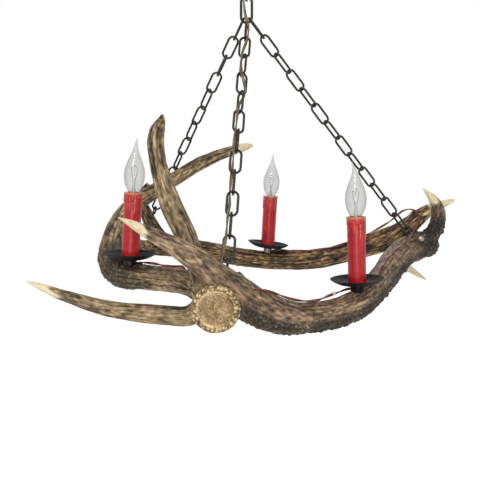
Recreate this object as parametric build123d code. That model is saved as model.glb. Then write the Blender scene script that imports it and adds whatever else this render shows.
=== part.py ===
from build123d import *
import math
import os

# Antler chandelier: three shed antlers joined in a ring and hung on three chains, with three
# candle lights. Millimetres, +Z up. The origin is the middle of the ceiling fitting, on the ceiling.

# ---- Fits, shared by everything that seats, hooks or turns
CONTACT_GAP = 0.3
HOLE_CLEARANCE = 0.4
PLUG_CLEARANCE = 0.3
DRILL_OVERRUN = 1.0

# ---- Ceiling fitting
CANOPY_DIAMETER = 127.0
CANOPY_DEPTH = 24.0
CANOPY_WALL = 1.2
CANOPY_RIM_HEIGHT = 3.0
CANOPY_NECK_DIAMETER = 36.0
BOX_SCREW_SPACING = 88.9
BOX_SCREW_SLOT_WIDTH = 5.0
BOX_SCREW_SLOT_LENGTH = 11.0
STRAP_END_WALL = 3.0
STRAP_LENGTH = BOX_SCREW_SPACING + BOX_SCREW_SLOT_LENGTH + 2 * STRAP_END_WALL
STRAP_WIDTH = 18.0
STRAP_THICKNESS = 2.4
COLLAR_DIAMETER = 24.0
COLLAR_HEIGHT = 7.0
LOOP_WIRE = 5.0
LOOP_OUTSIDE = 27.5
LOOP_NECK_DIAMETER = 15.0
LOOP_NECK_HEIGHT = 6.0
NUT_WIDTH = 14.0
NUT_HEIGHT = 4.0

# ---- Lamp pipe (1/8 IP), used at the ceiling and under each candle
PIPE_DIAMETER = 10.3
PIPE_BORE = 6.6

# ---- Chain
LINK_WIRE = 3.7
LINK_WIDTH = 19.5
LINK_INNER_LENGTH = 34.5
MASTER_WIRE = 4.3
MASTER_WIDTH = 21.6
MASTER_INNER_LENGTH = 35.0
WIRE_SIDES = 6
BEND_SIDES = 4
MASTER_WIRE_SIDES = 8
MASTER_BEND_SIDES = 7

# ---- Screw eyes and lag screws
EYE_WIRE = 3.4
EYE_OUTSIDE = 18.0
EYE_SHANK_LENGTH = 24.0
EYE_OPENING_DEG = 30.0
LAG_DIAMETER = 6.0
LAG_LENGTH = 52.0
LAG_HEAD_DIAMETER = 11.0
LAG_HEAD_HEIGHT = 3.5

# ---- Antlers: the burr is the beaded ring at an antler's base
BEAM_RIDGES = 7
GROOVE_SHARE = 0.05
BURR_FACE_DIAMETER = 48.0
BURR_THICKNESS = 11.0
BURR_BEADS = 16
BURR_CROWN_WIDTH = 5.0
BURR_BEAD_RISE = 1.3
TIP_RADIUS = 0.8

# ---- Candles
PIPE_DEPTH_IN_ANTLER = 22.0
SEAT_MARGIN = 1.0
HUB_HEIGHT = 11.0
PAN_DIAMETER = 82.0
PAN_DEPTH = 9.5
PAN_WALL = 1.1
PAN_FLOOR_DIAMETER = 34.0
SLEEVE_DIAMETER = 28.0
SLEEVE_BORE = 22.4
SLEEVE_HEIGHT = 101.6
SOCKET_DIAMETER = 19.6
SOCKET_HEIGHT = 42.0
SOCKET_BELOW_RIM = 4.0
SOCKET_FLOOR = 8.0
SOCKET_WALL = 2.2
SHELL_WALL = 0.6
CONTACT_HEIGHT = 1.5
BULB_CAP_DIAMETER = 11.7
BULB_CAP_LENGTH = 22.0
GLASS_DIAMETER = 32.0
GLASS_LENGTH = 85.0
GLASS_WALL = 0.9
STEM_DIAMETER = 5.0
STEM_LENGTH = 26.0

# ---- Wiring
FLEX_DIAMETER = 3.6
FLEX_SIDES = 5
FEEDER_DIAMETER = 2.4
FEEDER_SIDES = 4
ARC_SHARE = 0.45
CORD_TOP_WAY = (0.3, 0.2, 1.0)
CLIP_LENGTH = 5.0
CLIP_WIDTH = 6.0
CLIP_HEIGHT = 3.2
DOOR_DEPTH = 2.0
DOOR_APPROACH = 5.0

# ---- Flat sides round a turned piece, by its size
LARGE_SIDES = 20
GLASS_SIDES = 12
MIDDLE_SIDES = 16
SMALL_SIDES = 12

# ---- Heights down the hanging column, each link resting on the one above
COLLAR_BOTTOM_Z = -CANOPY_DEPTH - COLLAR_HEIGHT
NECK_BOTTOM_Z = COLLAR_BOTTOM_Z - LOOP_NECK_HEIGHT
LOOP_RADIUS = (LOOP_OUTSIDE - LOOP_WIRE) / 2
LOOP_CENTRE_Z = NECK_BOTTOM_Z - LOOP_OUTSIDE / 2
LOOP_BAR_Z = LOOP_CENTRE_Z - LOOP_RADIUS
MASTER_BAR_SPAN = MASTER_INNER_LENGTH + MASTER_WIRE
TOP_LINK_TOP_Z = LOOP_BAR_Z + (LOOP_WIRE + MASTER_WIRE) / 2 + CONTACT_GAP
TOP_LINK_BOTTOM_Z = TOP_LINK_TOP_Z - MASTER_BAR_SPAN
MASTER_TOP_Z = TOP_LINK_BOTTOM_Z + MASTER_WIRE + CONTACT_GAP
APEX_Z = MASTER_TOP_Z - MASTER_BAR_SPAN

# ---- Lines of the antlers: X, Y and Z from the apex, where the chains meet, and the radius there
LEFT_BEAM = [
    (-44, -232, -414, 21),
    (-48, -215, -412, 21),
    (-59, -190, -400, 20.5),
    (-89, -160, -393, 17.8),
    (-120, -132, -395, 17.3),
    (-161, -100, -397, 17.9),
    (-197, -70, -396, 20.3),
    (-218, -38, -382, 20),
    (-225, 5, -360, 18.5),
    (-222, 45, -334, 18.2),
    (-209, 82, -307, 16.1),
    (-181, 112, -283, 13.9),
    (-133, 131, -253, 12.5),
    (-80, 146, -221, 11.7),
    (-24, 153, -199, 9.2),
    (5, 154, -191, 6.6),
    (13, 154, -189, 3.5),
]
LEFT_BROW = [
    (-56, -204, -415, 15),
    (-79, -200, -432, 14.2),
    (-109, -196, -433, 13.4),
    (-141, -192, -431, 12.6),
    (-173, -190, -428, 11.5),
    (-210, -192, -420, 9.8),
    (-243, -196, -408, 8),
    (-271, -202, -396, 5.6),
    (-289, -207, -387, 3),
    (-299, -211, -382, TIP_RADIUS),
]
LEFT_UPRIGHT = [
    (-58, -196, -400, 16),
    (-65, -192, -373, 14.6),
    (-78, -186, -344, 15),
    (-89, -181, -317, 15.1),
    (-104, -174, -286, 14.8),
    (-117, -166, -251, 13.4),
    (-125, -159, -221, 11.6),
    (-128, -154, -196, 11),
    (-128, -151, -179, 9),
    (-123, -149, -163, 3),
]
LEFT_KNOB = [
    (-203, -62, -398, 14),
    (-219, -62, -410, 11),
    (-230, -63, -418, 6),
]
FRONT_BEAM = [
    (352, 134, -378, 20),
    (336, 121, -373, 23.5),
    (312, 104, -375, 25),
    (287, 82, -381, 25),
    (258, 42, -395, 23.5),
    (229, -12, -410, 22),
    (200, -62, -424, 21.5),
    (167, -108, -437, 22),
    (125, -142, -445, 22),
    (88, -166, -445, 21.5),
    (51, -184, -439, 22.5),
    (17, -196, -424, 25),
    (-10, -203, -406, 26),
    (-39, -211, -380, 21),
    (-63, -217, -357, 16.5),
    (-90, -218, -339, 13.2),
    (-117, -212, -325, 10.3),
    (-139, -203, -315, 8),
    (-160, -192, -306, 4.6),
    (-179, -180, -299, TIP_RADIUS),
]
FRONT_BROW = [
    (329, 115, -368, 15),
    (350, 124, -350, 14),
    (360, 130, -327, 13),
    (359, 134, -306, 11.3),
    (351, 137, -290, 8),
    (341, 139, -278, 4.2),
    (331, 140, -269, TIP_RADIUS),
]
FRONT_STUB = [
    (-1, -196, -400, 12),
    (2, -191, -386, 9),
    (-3, -182, -373, 5),
]
BACK_BEAM = [
    (-205, 50, -361, 12),
    (-205, 74, -369, 13),
    (-198, 110, -376, 13.5),
    (-187, 145, -382, 14),
    (-160, 172, -386, 15.5),
    (-128, 184, -388, 17.5),
    (-80, 193, -394, 17.8),
    (-10, 199, -408, 17.5),
    (45, 200, -414, 17.3),
    (126, 193, -413, 18.5),
    (198, 176, -396, 18),
    (239, 160, -381, 18.5),
    (271, 146, -366, 20),
    (299, 131, -345, 17.5),
    (327, 142, -324, 14.5),
    (354, 158, -310, 11),
    (383, 166, -299, 6.5),
    (404, 171, -293, TIP_RADIUS),
]
BACK_BROW = [
    (-152, 180, -383, 14),
    (-178, 191, -353, 13.5),
    (-195, 200, -322, 11.5),
    (-203, 206, -300, 9),
    (-201, 210, -279, 6.3),
    (-192, 212, -260, 2),
]
BACK_FORK = [
    (266, 148, -371, 15),
    (294, 155, -403, 10.5),
    (318, 164, -426, 6.6),
    (339, 168, -440, 4),
    (356, 172, -450, TIP_RADIUS),
]

# ---- Burrs: middle of the flat face from the apex, and the way it faces
LEFT_BURR = ((-44, -243, -415), (0.05, -1.0, -0.05))
FRONT_BURR = ((358, 139, -381), (0.75, 0.55, -0.35))

# ---- Candle seats: side, seat from the apex, lean to the right in degrees, hub width
CANDLES = [
    ("front", (166, -112, -417), -2.2, 20.0),
    ("left", (-180, -85, -382), 4.0, 20.0),
    ("back", (44, 199, -400), 3.0, 16.0),
]

# ---- Chains: side, where the last link hooks its screw eye (from the apex), the first link's place
# round the master link in degrees, the roll of each link, and the way the eye's shank runs
CHAINS = [
    ("right", (287, 86, -340), 51.4, [85] + [150, 60] * 6, (0.0, 0.1, -1.0)),
    ("front", (-27, -186, -357), 0, [90, 0, 60, 150, 60, 160, 80] + [0, 90] * 2 + [0], (0.1, -0.5, -0.85)),
    ("left", (-175, 186, -310), -44, [100, 10, 90, 0] + [60, 150] * 2 + [75, 160, 80, 170], (-0.5, 0.42, -0.75)),
]

# ---- Lag screws that hold the antlers together: head seat and way, from the apex
LAG_SCREWS = [
    ((-71, -177, -412), (0.57, -0.60, 0.57)),
    ((-198.5, 58, -371), (-0.54, -0.42, 0.72)),
    ((316, 88, -360), (0.0, 0.93, 0.36)),
]


# ---- Flex: X and Y beside each of the upper links, its places from the apex over the first links,
# its weave beside the front chain, as link, share of the link, angle round the chain and offset,
# and its last places from the apex, the last one inside the front antler
FLEX_BESIDE_LOOP = (-5.7, -5.4)
FLEX_BESIDE_TOP_LINK = (-5.6, -6.0)
FLEX_BESIDE_MASTER_LINK = (-4.6, -5.0)
FLEX_OVER_FIRST_LINKS = [
    (-3.5, -9.0, 20),
    (-1.5, -13.5, 6),
    (3.5, -17.8, -9),
]
FLEX_WEAVE = [
    (1, 0.0, 45, 6.4),
    (1, 0.5, 80, 6.4),
    (2, 0.0, 120, 6.8),
    (2, 0.5, 112, 7.0),
    (3, 0.0, 105, 6.8),
    (3, 0.5, 60, 7.0),
    (4, 0.12, 15, 7.6),
    (4, 0.5, 60, 0.5),
    (4, 0.88, 110, 7.4),
    (5, 0.5, 113, 6.8),
    (6, 0.0, 120, 6.4),
    (6, 0.5, 127, 6.8),
    (7, 0.1, 132, 6.6),
    (7, 0.5, 180, 3.4),
    (7, 0.9, 226, 6.6),
    (8, 0.5, 222, 6.8),
    (9, 0.1, 226, 6.6),
    (9, 0.5, 180, 3.4),
    (9, 0.9, 134, 6.6),
    (10, 0.5, 138, 6.8),
    (11, 0.0, 134, 6.6),
]
FLEX_END = [
    (-32, -184, -340),
    (-36, -191, -357),
    (-37, -199, -377),
]

# ---- Feeder wires: side, the hub door that each starts from (or none), its places from the apex,
# and the hub door that it ends in; a door is a candle's side and 1 for its right or -1 for its left
FEEDERS = [
    (
        "front",
        None,
        [
            (0, -205, -402),
            (10, -222, -390),
            (19, -213, -394),
            (34, -195, -401),
            (47, -185, -408),
            (60, -178, -414),
            (80, -175, -418),
            (101, -160, -420),
            (119, -136, -418),
            (136, -121, -416),
        ],
        ("front", -1),
    ),
    (
        "left",
        None,
        [
            (-85, -161, -386),
            (-90, -156, -369),
            (-103, -143, -374),
            (-121, -126, -375),
            (-134, -115, -374),
            (-148, -104, -374),
            (-160, -92, -375),
        ],
        ("left", 1),
    ),
    (
        "back",
        ("front", 1),
        [
            (189, -97, -408),
            (213, -47, -394),
            (235, -3, -381),
            (253, 24, -373),
            (271, 46, -366),
            (292, 71, -356),
            (303, 93, -349),
            (310, 108, -343),
            (317, 114, -333),
            (321, 120, -321),
            (318, 131, -311),
            (308, 140, -308),
            (296, 144, -312),
            (286, 145, -321),
            (276, 146, -331),
            (256, 152, -345),
            (236, 160, -358),
            (213, 164, -369),
            (192, 168, -377),
            (168, 172, -385),
            (146, 178, -390),
            (115, 186, -394),
            (88, 192, -394),
            (68, 198, -393),
        ],
        ("back", 1),
    ),
]

# ---- Helpers ----------------------------------------------------------------------------------
ON_BASE = (Align.CENTER, Align.CENTER, Align.MIN)
DOWN = Vector(0, 0, -1)
PIPE_HOLE = PIPE_DIAMETER + 2 * HOLE_CLEARANCE


def from_apex(x, y, z):
    """A place given from the apex, in the part's frame."""
    return Vector(x, y, z + APEX_Z)


def flat_face(corners):
    """A flat face through corner points."""
    return Face(Wire.make_polygon(corners))


def solid_through(rings, closed=False, twisted=False):
    """A flat-sided bar through rings of points, with end faces unless it closes on itself."""
    count = len(rings[0])
    pairs = list(zip(rings, rings[1:]))
    if closed:
        pairs.append((rings[-1], rings[0]))
    faces = []
    for lower, upper in pairs:
        for i in range(count):
            j = (i + 1) % count
            if twisted:
                faces.append(flat_face([lower[i], lower[j], upper[j]]))
                faces.append(flat_face([lower[i], upper[j], upper[i]]))
            else:
                faces.append(flat_face([lower[i], lower[j], upper[j], upper[i]]))
    if not closed:
        faces.append(flat_face(rings[0][::-1]))
        faces.append(flat_face(rings[-1]))
    return Solid(Shell(faces))


def turned(outline, sides):
    """A many-sided turning about the Z axis from a closed outline of radius and height."""
    rings = []
    for radius, height in outline:
        ring = []
        for i in range(sides):
            turn = 2 * math.pi * (i + 0.5) / sides
            ring.append(Vector(radius * math.cos(turn), radius * math.sin(turn), height))
        rings.append(ring if radius else ring[:1] * sides)
    faces = []
    for lower, upper in zip(rings, rings[1:] + rings[:1]):
        for i in range(sides):
            j = (i + 1) % sides
            corners = []
            for corner in (lower[i], lower[j], upper[j], upper[i]):
                if corner not in corners:
                    corners.append(corner)
            if len(corners) > 2:
                faces.append(flat_face(corners))
    return Solid(Shell(faces))


def tube(outer, inner, height, sides):
    """A plain tube standing on the XY plane."""
    return turned([(inner / 2, 0), (outer / 2, 0), (outer / 2, height), (inner / 2, height)], sides)


def rod(diameter, height, sides):
    """A plain rod standing on the XY plane."""
    return turned([(0, 0), (diameter / 2, 0), (diameter / 2, height), (0, height)], sides)


def hex_nut():
    """A plain hexagon nut for the lamp pipe, standing on the XY plane."""
    body = extrude(RegularPolygon(NUT_WIDTH / 2, 6, major_radius=False), NUT_HEIGHT)
    return body - rod(PIPE_HOLE, NUT_HEIGHT, SMALL_SIDES)


def directions(points):
    """The unit direction of a line at each of its points."""
    found = []
    last = len(points) - 1
    for i in range(len(points)):
        step = points[min(i + 1, last)] - points[max(i - 1, 0)]
        found.append(step.normalized())
    return found


def limb(stations, grow=0.0):
    """One beam or tine: ridged sections square to its line, joined by straight skins."""
    points = [from_apex(x, y, z) for x, y, z, radius in stations]
    side = Vector(0, 0, 1)
    rings = []
    for point, along, station in zip(points, directions(points), stations):
        side = (side - along * side.dot(along)).normalized()
        other = along.cross(side)
        ring = []
        for i in range(2 * BEAM_RIDGES):
            turn = math.pi * i / BEAM_RIDGES
            reach = station[3] * (1 - GROOVE_SHARE * (i % 2)) + grow
            ring.append(point + side * (reach * math.cos(turn)) + other * (reach * math.sin(turn)))
        rings.append(ring)
    return solid_through(rings, twisted=True)


def burr(face_middle, outward):
    """The beaded ring round a shed antler's base, with the flat face where it was shed."""
    flat = BURR_FACE_DIAMETER / 2
    rows = [
        (-1.0, -0.2, 0.0),
        (-0.6, 0.9, 0.7),
        (-0.25, 1.0, 1.0),
        (0.0, 0.3, 0.4),
    ]
    plane = Plane(origin=from_apex(*face_middle), z_dir=outward)
    rings = []
    for height_share, crown_share, rise_share in rows:
        ring = []
        for i in range(2 * BURR_BEADS):
            turn = math.pi * i / BURR_BEADS
            bead = BURR_BEAD_RISE * rise_share * (1 if i % 2 else -1)
            reach = flat + BURR_CROWN_WIDTH * crown_share + bead
            on_row = (reach * math.cos(turn), reach * math.sin(turn), height_share * BURR_THICKNESS)
            ring.append(plane.from_local_coords(on_row))
        rings.append(ring)
    return solid_through(rings, twisted=True)


def bent_wire(points, wire, closed=False, sides=WIRE_SIDES):
    """Round wire bent in the XY plane, drawn with flat sides and mitred at each bend."""
    last = len(points) - 1
    reach = wire / 2 / math.cos(math.pi / sides)
    rings = []
    for i, point in enumerate(points):
        runs = []
        if i or closed:
            runs.append((point - points[i - 1]).normalized())
        if i < last or closed:
            runs.append((points[(i + 1) % len(points)] - point).normalized())
        along = sum(runs, Vector(0, 0, 0)).normalized()
        across = Vector(-along.Y, along.X, 0) / along.dot(runs[0])
        ring = []
        for k in range(sides):
            turn = 2 * math.pi * (k + 0.5) / sides
            ring.append(point + across * (reach * math.cos(turn)) + Vector(0, 0, reach * math.sin(turn)))
        rings.append(ring)
    return solid_through(rings, closed)


def bend_points(radius, middle_y, start_deg, end_deg, count):
    """Corners of a many-sided bend that goes round a circle of the given radius."""
    step = math.radians(end_deg - start_deg) / count
    reach = radius / math.cos(step / 2)
    points = []
    for i in range(count):
        turn = math.radians(start_deg) + step * (i + 0.5)
        points.append(Vector(reach * math.cos(turn), middle_y + reach * math.sin(turn), 0))
    return points


def link_solid(wire, width, inner_length, bend_sides, wire_sides):
    """A long link in the XY plane, its length along Y and its middle at the origin."""
    bend = (width - wire) / 2
    half_straight = (inner_length + wire) / 2 - bend
    upper = bend_points(bend, half_straight, 0, 180, bend_sides)
    lower = bend_points(bend, -half_straight, 180, 360, bend_sides)
    return bent_wire(upper + lower, wire, closed=True, sides=wire_sides)


def stood_up(shape, middle, down, flat_way):
    """A flat shape moved so that its Y runs up against down and its X spreads along flat_way."""
    across = (flat_way - down * flat_way.dot(down)).normalized()
    return Plane(origin=middle, x_dir=across, z_dir=across.cross(-down)).location * shape


def save(shape, node):
    """One STEP file for one node."""
    shape.label = node
    export_step(shape, f"parts/{node}.step")


os.makedirs("parts", exist_ok=True)


# ---- Ceiling fitting --------------------------------------------------------------------------
def ceiling_canopy():
    """The dished cover, open at the ceiling, with a hole for the loop's pipe."""
    rim = CANOPY_DIAMETER / 2
    neck = CANOPY_NECK_DIAMETER / 2
    drop = CANOPY_DEPTH - CANOPY_RIM_HEIGHT
    outside = []
    inside = []
    for share in (0.0, 0.25, 0.5, 0.75, 1.0):
        turn = share * math.pi / 2
        radius = neck + (rim - neck) * math.cos(turn)
        height = -CANOPY_RIM_HEIGHT - drop * math.sin(turn)
        outside.append((radius, height))
        inside.append((radius - CANOPY_WALL * math.cos(turn), height + CANOPY_WALL * math.sin(turn)))
    bottom = [(PIPE_HOLE / 2, -CANOPY_DEPTH), (PIPE_HOLE / 2, -CANOPY_DEPTH + CANOPY_WALL)]
    outline = [(rim, 0)] + outside + bottom + inside[::-1] + [(rim - CANOPY_WALL, 0)]
    return turned(outline, LARGE_SIDES)


def mounting_strap():
    """The crossbar that screws to the ceiling box, with two slots and a pipe hole."""
    bar = Box(STRAP_LENGTH, STRAP_WIDTH, STRAP_THICKNESS, align=ON_BASE)
    bar -= rod(PIPE_HOLE, STRAP_THICKNESS, SMALL_SIDES)
    slot = extrude(SlotOverall(BOX_SCREW_SLOT_LENGTH, BOX_SCREW_SLOT_WIDTH), STRAP_THICKNESS)
    for side in (-1, 1):
        bar -= Pos(side * BOX_SCREW_SPACING / 2, 0, 0) * slot
    return Pos(0, 0, -STRAP_THICKNESS) * bar


def canopy_loop():
    """The hollow pipe that carries the light, with a closed ring under its wide neck."""
    pipe_top = -STRAP_THICKNESS / 2
    neck_bottom = LOOP_CENTRE_Z + LOOP_RADIUS - LOOP_WIRE / 4
    circle = bend_points(LOOP_RADIUS, 0, 90, 450, 2 * MASTER_BEND_SIDES)
    ring = bent_wire(circle, LOOP_WIRE, closed=True, sides=MASTER_WIRE_SIDES)
    ring = stood_up(ring, Vector(0, 0, LOOP_CENTRE_Z), DOWN, Vector(1, 0, 0))
    stem = turned(
        [
            (0, neck_bottom),
            (LOOP_NECK_DIAMETER / 2, neck_bottom),
            (LOOP_NECK_DIAMETER / 2, COLLAR_BOTTOM_Z),
            (PIPE_DIAMETER / 2, COLLAR_BOTTOM_Z),
            (PIPE_DIAMETER / 2, pipe_top),
            (0, pipe_top),
        ],
        SMALL_SIDES,
    )
    bore_bottom = LOOP_CENTRE_Z + LOOP_RADIUS - LOOP_WIRE
    bore = Pos(0, 0, bore_bottom) * rod(PIPE_BORE, pipe_top - bore_bottom, SMALL_SIDES)
    return stem + ring - bore


save(ceiling_canopy(), "ceiling_canopy")
save(mounting_strap(), "mounting_strap")
save(canopy_loop(), "canopy_loop")
collar = tube(COLLAR_DIAMETER, PIPE_HOLE, COLLAR_HEIGHT, SMALL_SIDES)
save(Pos(0, 0, COLLAR_BOTTOM_Z) * collar, "collar_ring")
save(Pos(0, 0, -STRAP_THICKNESS - NUT_HEIGHT) * hex_nut(), "pipe_nut")

# ---- Top link and master link -----------------------------------------------------------------
large_link = link_solid(MASTER_WIRE, MASTER_WIDTH, MASTER_INNER_LENGTH, MASTER_BEND_SIDES, MASTER_WIRE_SIDES)
top_middle = Vector(0, 0, (TOP_LINK_TOP_Z + TOP_LINK_BOTTOM_Z) / 2)
master_middle = Vector(0, 0, (MASTER_TOP_Z + APEX_Z) / 2)
save(stood_up(large_link, top_middle, DOWN, Vector(0, 1, 0)), "top_link")
save(stood_up(large_link, master_middle, DOWN, Vector(1, 0, 0)), "master_link")


# ---- Chains and screw eyes --------------------------------------------------------------------
def chain_frame(down):
    """The two ways square to a chain: across the view, and towards the viewer."""
    across = (Vector(1, 0, 0) - down * down.X).normalized()
    return across, down.cross(across)


def flat_direction(down, roll_deg):
    """The way a link spreads when it is rolled about its chain."""
    across, nearer = chain_frame(down)
    roll = math.radians(roll_deg)
    return across * math.cos(roll) + nearer * math.sin(roll)


def chain_line(eye, angle, first_roll):
    """A chain's start on the master link's lower bend, its end at its eye, and the way between."""
    bend = (MASTER_WIDTH - MASTER_WIRE) / 2
    turn = math.radians(angle)
    end = from_apex(*eye)
    on_wire = Vector(bend * math.sin(turn), 0, APEX_Z + bend * (1 - math.cos(turn)))
    heading = (end - on_wire).normalized()
    wire_way = Vector(math.cos(turn), 0, math.sin(turn))
    square = wire_way.cross(flat_direction(heading, first_roll)).normalized()
    bars_apart = ((MASTER_WIRE + LINK_WIRE) / 2 + CONTACT_GAP) / abs(square.dot(heading))
    start = on_wire - heading * (bars_apart - (LINK_WIRE + CONTACT_GAP) / 2)
    return start, end, (end - start).normalized()


def chain_links(start, end, down, rolls):
    """Links hooked end to end from start to end, each turned across the one before it."""
    span = (end - start).length
    count = round(span / (LINK_INNER_LENGTH - CONTACT_GAP))
    pitch = span / count
    shape = link_solid(LINK_WIRE, LINK_WIDTH, pitch + CONTACT_GAP, BEND_SIDES, WIRE_SIDES)
    placed = []
    for i in range(count):
        flat_way = flat_direction(down, rolls[i])
        placed.append(stood_up(shape, start + down * (pitch * (i + 0.5)), down, flat_way))
    print("chain of", count, "links, pitch", round(pitch, 2))
    return placed, flat_way


def screw_eye(hook, pull, last_flat_way, shank_way):
    """A ring of wire that holds the last link, on a straight shank that enters the antler."""
    radius = (EYE_OUTSIDE - EYE_WIRE) / 2
    middle = hook - pull * ((EYE_WIRE + CONTACT_GAP) / 2) + pull * radius
    way = (shank_way - last_flat_way * shank_way.dot(last_flat_way)).normalized()
    spread = way.cross(last_flat_way)
    ring = bend_points(radius, 0, -90, 270 - EYE_OPENING_DEG, 2 * BEND_SIDES)
    neck = Vector(0, -radius, 0)
    foot = Vector(0, -radius - EYE_SHANK_LENGTH, 0)
    eye = stood_up(bent_wire([foot, neck] + ring, EYE_WIRE), middle, way, spread)
    hole = rod(EYE_WIRE + 2 * HOLE_CLEARANCE, EYE_SHANK_LENGTH, SMALL_SIDES)
    return eye, Plane(origin=middle, z_dir=way) * Pos(0, 0, radius) * hole


eye_holes = {}
chain_starts = {}
for side, eye_place, angle, rolls, shank in CHAINS:
    chain_starts[side] = chain_line(eye_place, angle, rolls[0])
    start, end, down = chain_starts[side]
    links, last_flat_way = chain_links(start, end, down, rolls)
    save(Compound(children=links), f"chain_{side}")
    eye, eye_holes[side] = screw_eye(end, down, last_flat_way, Vector(*shank))
    save(eye, f"screw_eye_{side}")


# ---- Lag screws -------------------------------------------------------------------------------
def lag_screw(place, way):
    """A round-headed screw, and the flat pocket and clearance hole that take it."""
    plane = Plane(origin=from_apex(*place), z_dir=way)
    head = LAG_HEAD_DIAMETER / 2
    shank = LAG_DIAMETER / 2
    screw = turned(
        [
            (0, -LAG_HEAD_HEIGHT),
            (head, -LAG_HEAD_HEIGHT),
            (head, 0),
            (shank, 0),
            (shank, LAG_LENGTH),
            (0, LAG_LENGTH),
        ],
        SMALL_SIDES,
    )
    wide = head + HOLE_CLEARANCE
    hole = shank + HOLE_CLEARANCE
    top = -4 * LAG_HEAD_HEIGHT
    bottom = LAG_LENGTH + DRILL_OVERRUN
    opening = turned([(0, top), (wide, top), (wide, 0), (hole, 0), (hole, bottom), (0, bottom)], SMALL_SIDES)
    return plane * screw, plane * opening


lag_screws = []
lag_holes = []
for place, way in LAG_SCREWS:
    screw, hole = lag_screw(place, way)
    lag_screws.append(screw)
    lag_holes.append(hole)
save(Compound(children=lag_screws), "lag_screws")

# ---- Candles ----------------------------------------------------------------------------------
PAN_TOP = HUB_HEIGHT + PAN_WALL
PIPE_TOP = PAN_TOP + SLEEVE_HEIGHT - SOCKET_BELOW_RIM - SOCKET_HEIGHT
SOCKET_TOP = PIPE_TOP + SOCKET_HEIGHT


def drip_pan():
    """A shallow black dish with a flat floor, rising in a curve to its rim."""
    rim = PAN_DIAMETER / 2
    floor = PAN_FLOOR_DIAMETER / 2
    hole = PIPE_HOLE / 2
    middle = (rim + floor) / 2
    return turned(
        [
            (hole, 0),
            (floor, 0),
            (middle, PAN_DEPTH / 3),
            (rim, PAN_DEPTH),
            (rim - PAN_WALL, PAN_DEPTH),
            (middle - PAN_WALL / 2, PAN_DEPTH / 3 + PAN_WALL),
            (floor - PAN_WALL / 2, PAN_WALL),
            (hole, PAN_WALL),
        ],
        LARGE_SIDES,
    )


def candle_hub(width):
    """The collar between antler and pan, with a side hole for its wire."""
    side_hole = Rot(0, 90, 0) * rod(FEEDER_DIAMETER + 2 * HOLE_CLEARANCE, 2 * width, WIRE_SIDES)
    return tube(width, PIPE_HOLE, HUB_HEIGHT, SMALL_SIDES) - Pos(-width, 0, HUB_HEIGHT / 2) * side_hole


def socket_body():
    """The moulded candle socket, cupped above for the bulb and bored below for the pipe."""
    outer = SOCKET_DIAMETER / 2
    inner = outer - SOCKET_WALL
    bore = PIPE_HOLE / 2
    cup_floor = SOCKET_HEIGHT - BULB_CAP_LENGTH - CONTACT_HEIGHT
    return turned(
        [
            (bore, 0),
            (outer, 0),
            (outer, SOCKET_HEIGHT),
            (inner, SOCKET_HEIGHT),
            (inner, cup_floor),
            (0, cup_floor),
            (0, SOCKET_FLOOR),
            (bore, SOCKET_FLOOR),
        ],
        SMALL_SIDES,
    )


def bulb_glass():
    """The hollow flame-shaped glass, closed by its neck and drawn out to a tip."""
    shares = [
        (0.37, 0.0),
        (0.52, 0.08),
        (0.90, 0.22),
        (1.0, 0.35),
        (0.90, 0.49),
        (0.60, 0.65),
        (0.28, 0.80),
    ]
    outside = [(0, 0)]
    inside = []
    for radius_share, height_share in shares:
        radius = radius_share * GLASS_DIAMETER / 2
        outside.append((radius, height_share * GLASS_LENGTH))
        inside.append((radius - GLASS_WALL, max(height_share * GLASS_LENGTH, GLASS_WALL)))
    tip = [(0.10 * GLASS_DIAMETER / 2, 0.92 * GLASS_LENGTH), (0, GLASS_LENGTH)]
    hollow_top = (0, inside[-1][1] + 2 * GLASS_WALL)
    outer = turned(outside + tip, GLASS_SIDES)
    return outer - turned([(0, GLASS_WALL)] + inside + [hollow_top], GLASS_SIDES)


cap = BULB_CAP_DIAMETER / 2
cap_nose = (0.4 * cap, -BULB_CAP_LENGTH)
cap_outline = [(0, -BULB_CAP_LENGTH), cap_nose, (cap, -0.8 * BULB_CAP_LENGTH), (cap, 0), (0, 0)]
stem = STEM_DIAMETER / 2
stem_outline = [
    (0, GLASS_WALL),
    (stem, GLASS_WALL),
    (stem, 0.6 * STEM_LENGTH),
    (0.4 * stem, STEM_LENGTH),
    (0, STEM_LENGTH),
]
shell_outside = SOCKET_DIAMETER - 2 * SOCKET_WALL - 2 * PLUG_CLEARANCE
shell_height = 0.8 * BULB_CAP_LENGTH
shell = tube(shell_outside, shell_outside - 2 * SHELL_WALL, shell_height, SMALL_SIDES)
sleeve = tube(SLEEVE_DIAMETER, SLEEVE_BORE, SLEEVE_HEIGHT, MIDDLE_SIDES)
pipe_length = PIPE_DEPTH_IN_ANTLER + PIPE_TOP + SOCKET_FLOOR - CONTACT_GAP
lamp_pipe = tube(PIPE_DIAMETER, PIPE_BORE, pipe_length, SMALL_SIDES)
common_pieces = {
    "candle_pipe": Pos(0, 0, -PIPE_DEPTH_IN_ANTLER) * lamp_pipe,
    "drip_pan": Pos(0, 0, HUB_HEIGHT) * drip_pan(),
    "pan_nut": Pos(0, 0, PAN_TOP) * hex_nut(),
    "candle_sleeve": Pos(0, 0, PAN_TOP) * sleeve,
    "socket_body": Pos(0, 0, PIPE_TOP) * socket_body(),
    "socket_shell": Pos(0, 0, SOCKET_TOP - shell_height) * shell,
    "bulb_glass": Pos(0, 0, SOCKET_TOP + PLUG_CLEARANCE) * bulb_glass(),
    "bulb_cap": Pos(0, 0, SOCKET_TOP + PLUG_CLEARANCE) * turned(cap_outline, SMALL_SIDES),
    "bulb_stem": Pos(0, 0, SOCKET_TOP + PLUG_CLEARANCE) * turned(stem_outline, SMALL_SIDES),
}
seat_cuts = {}
hub_doors = {}
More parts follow.
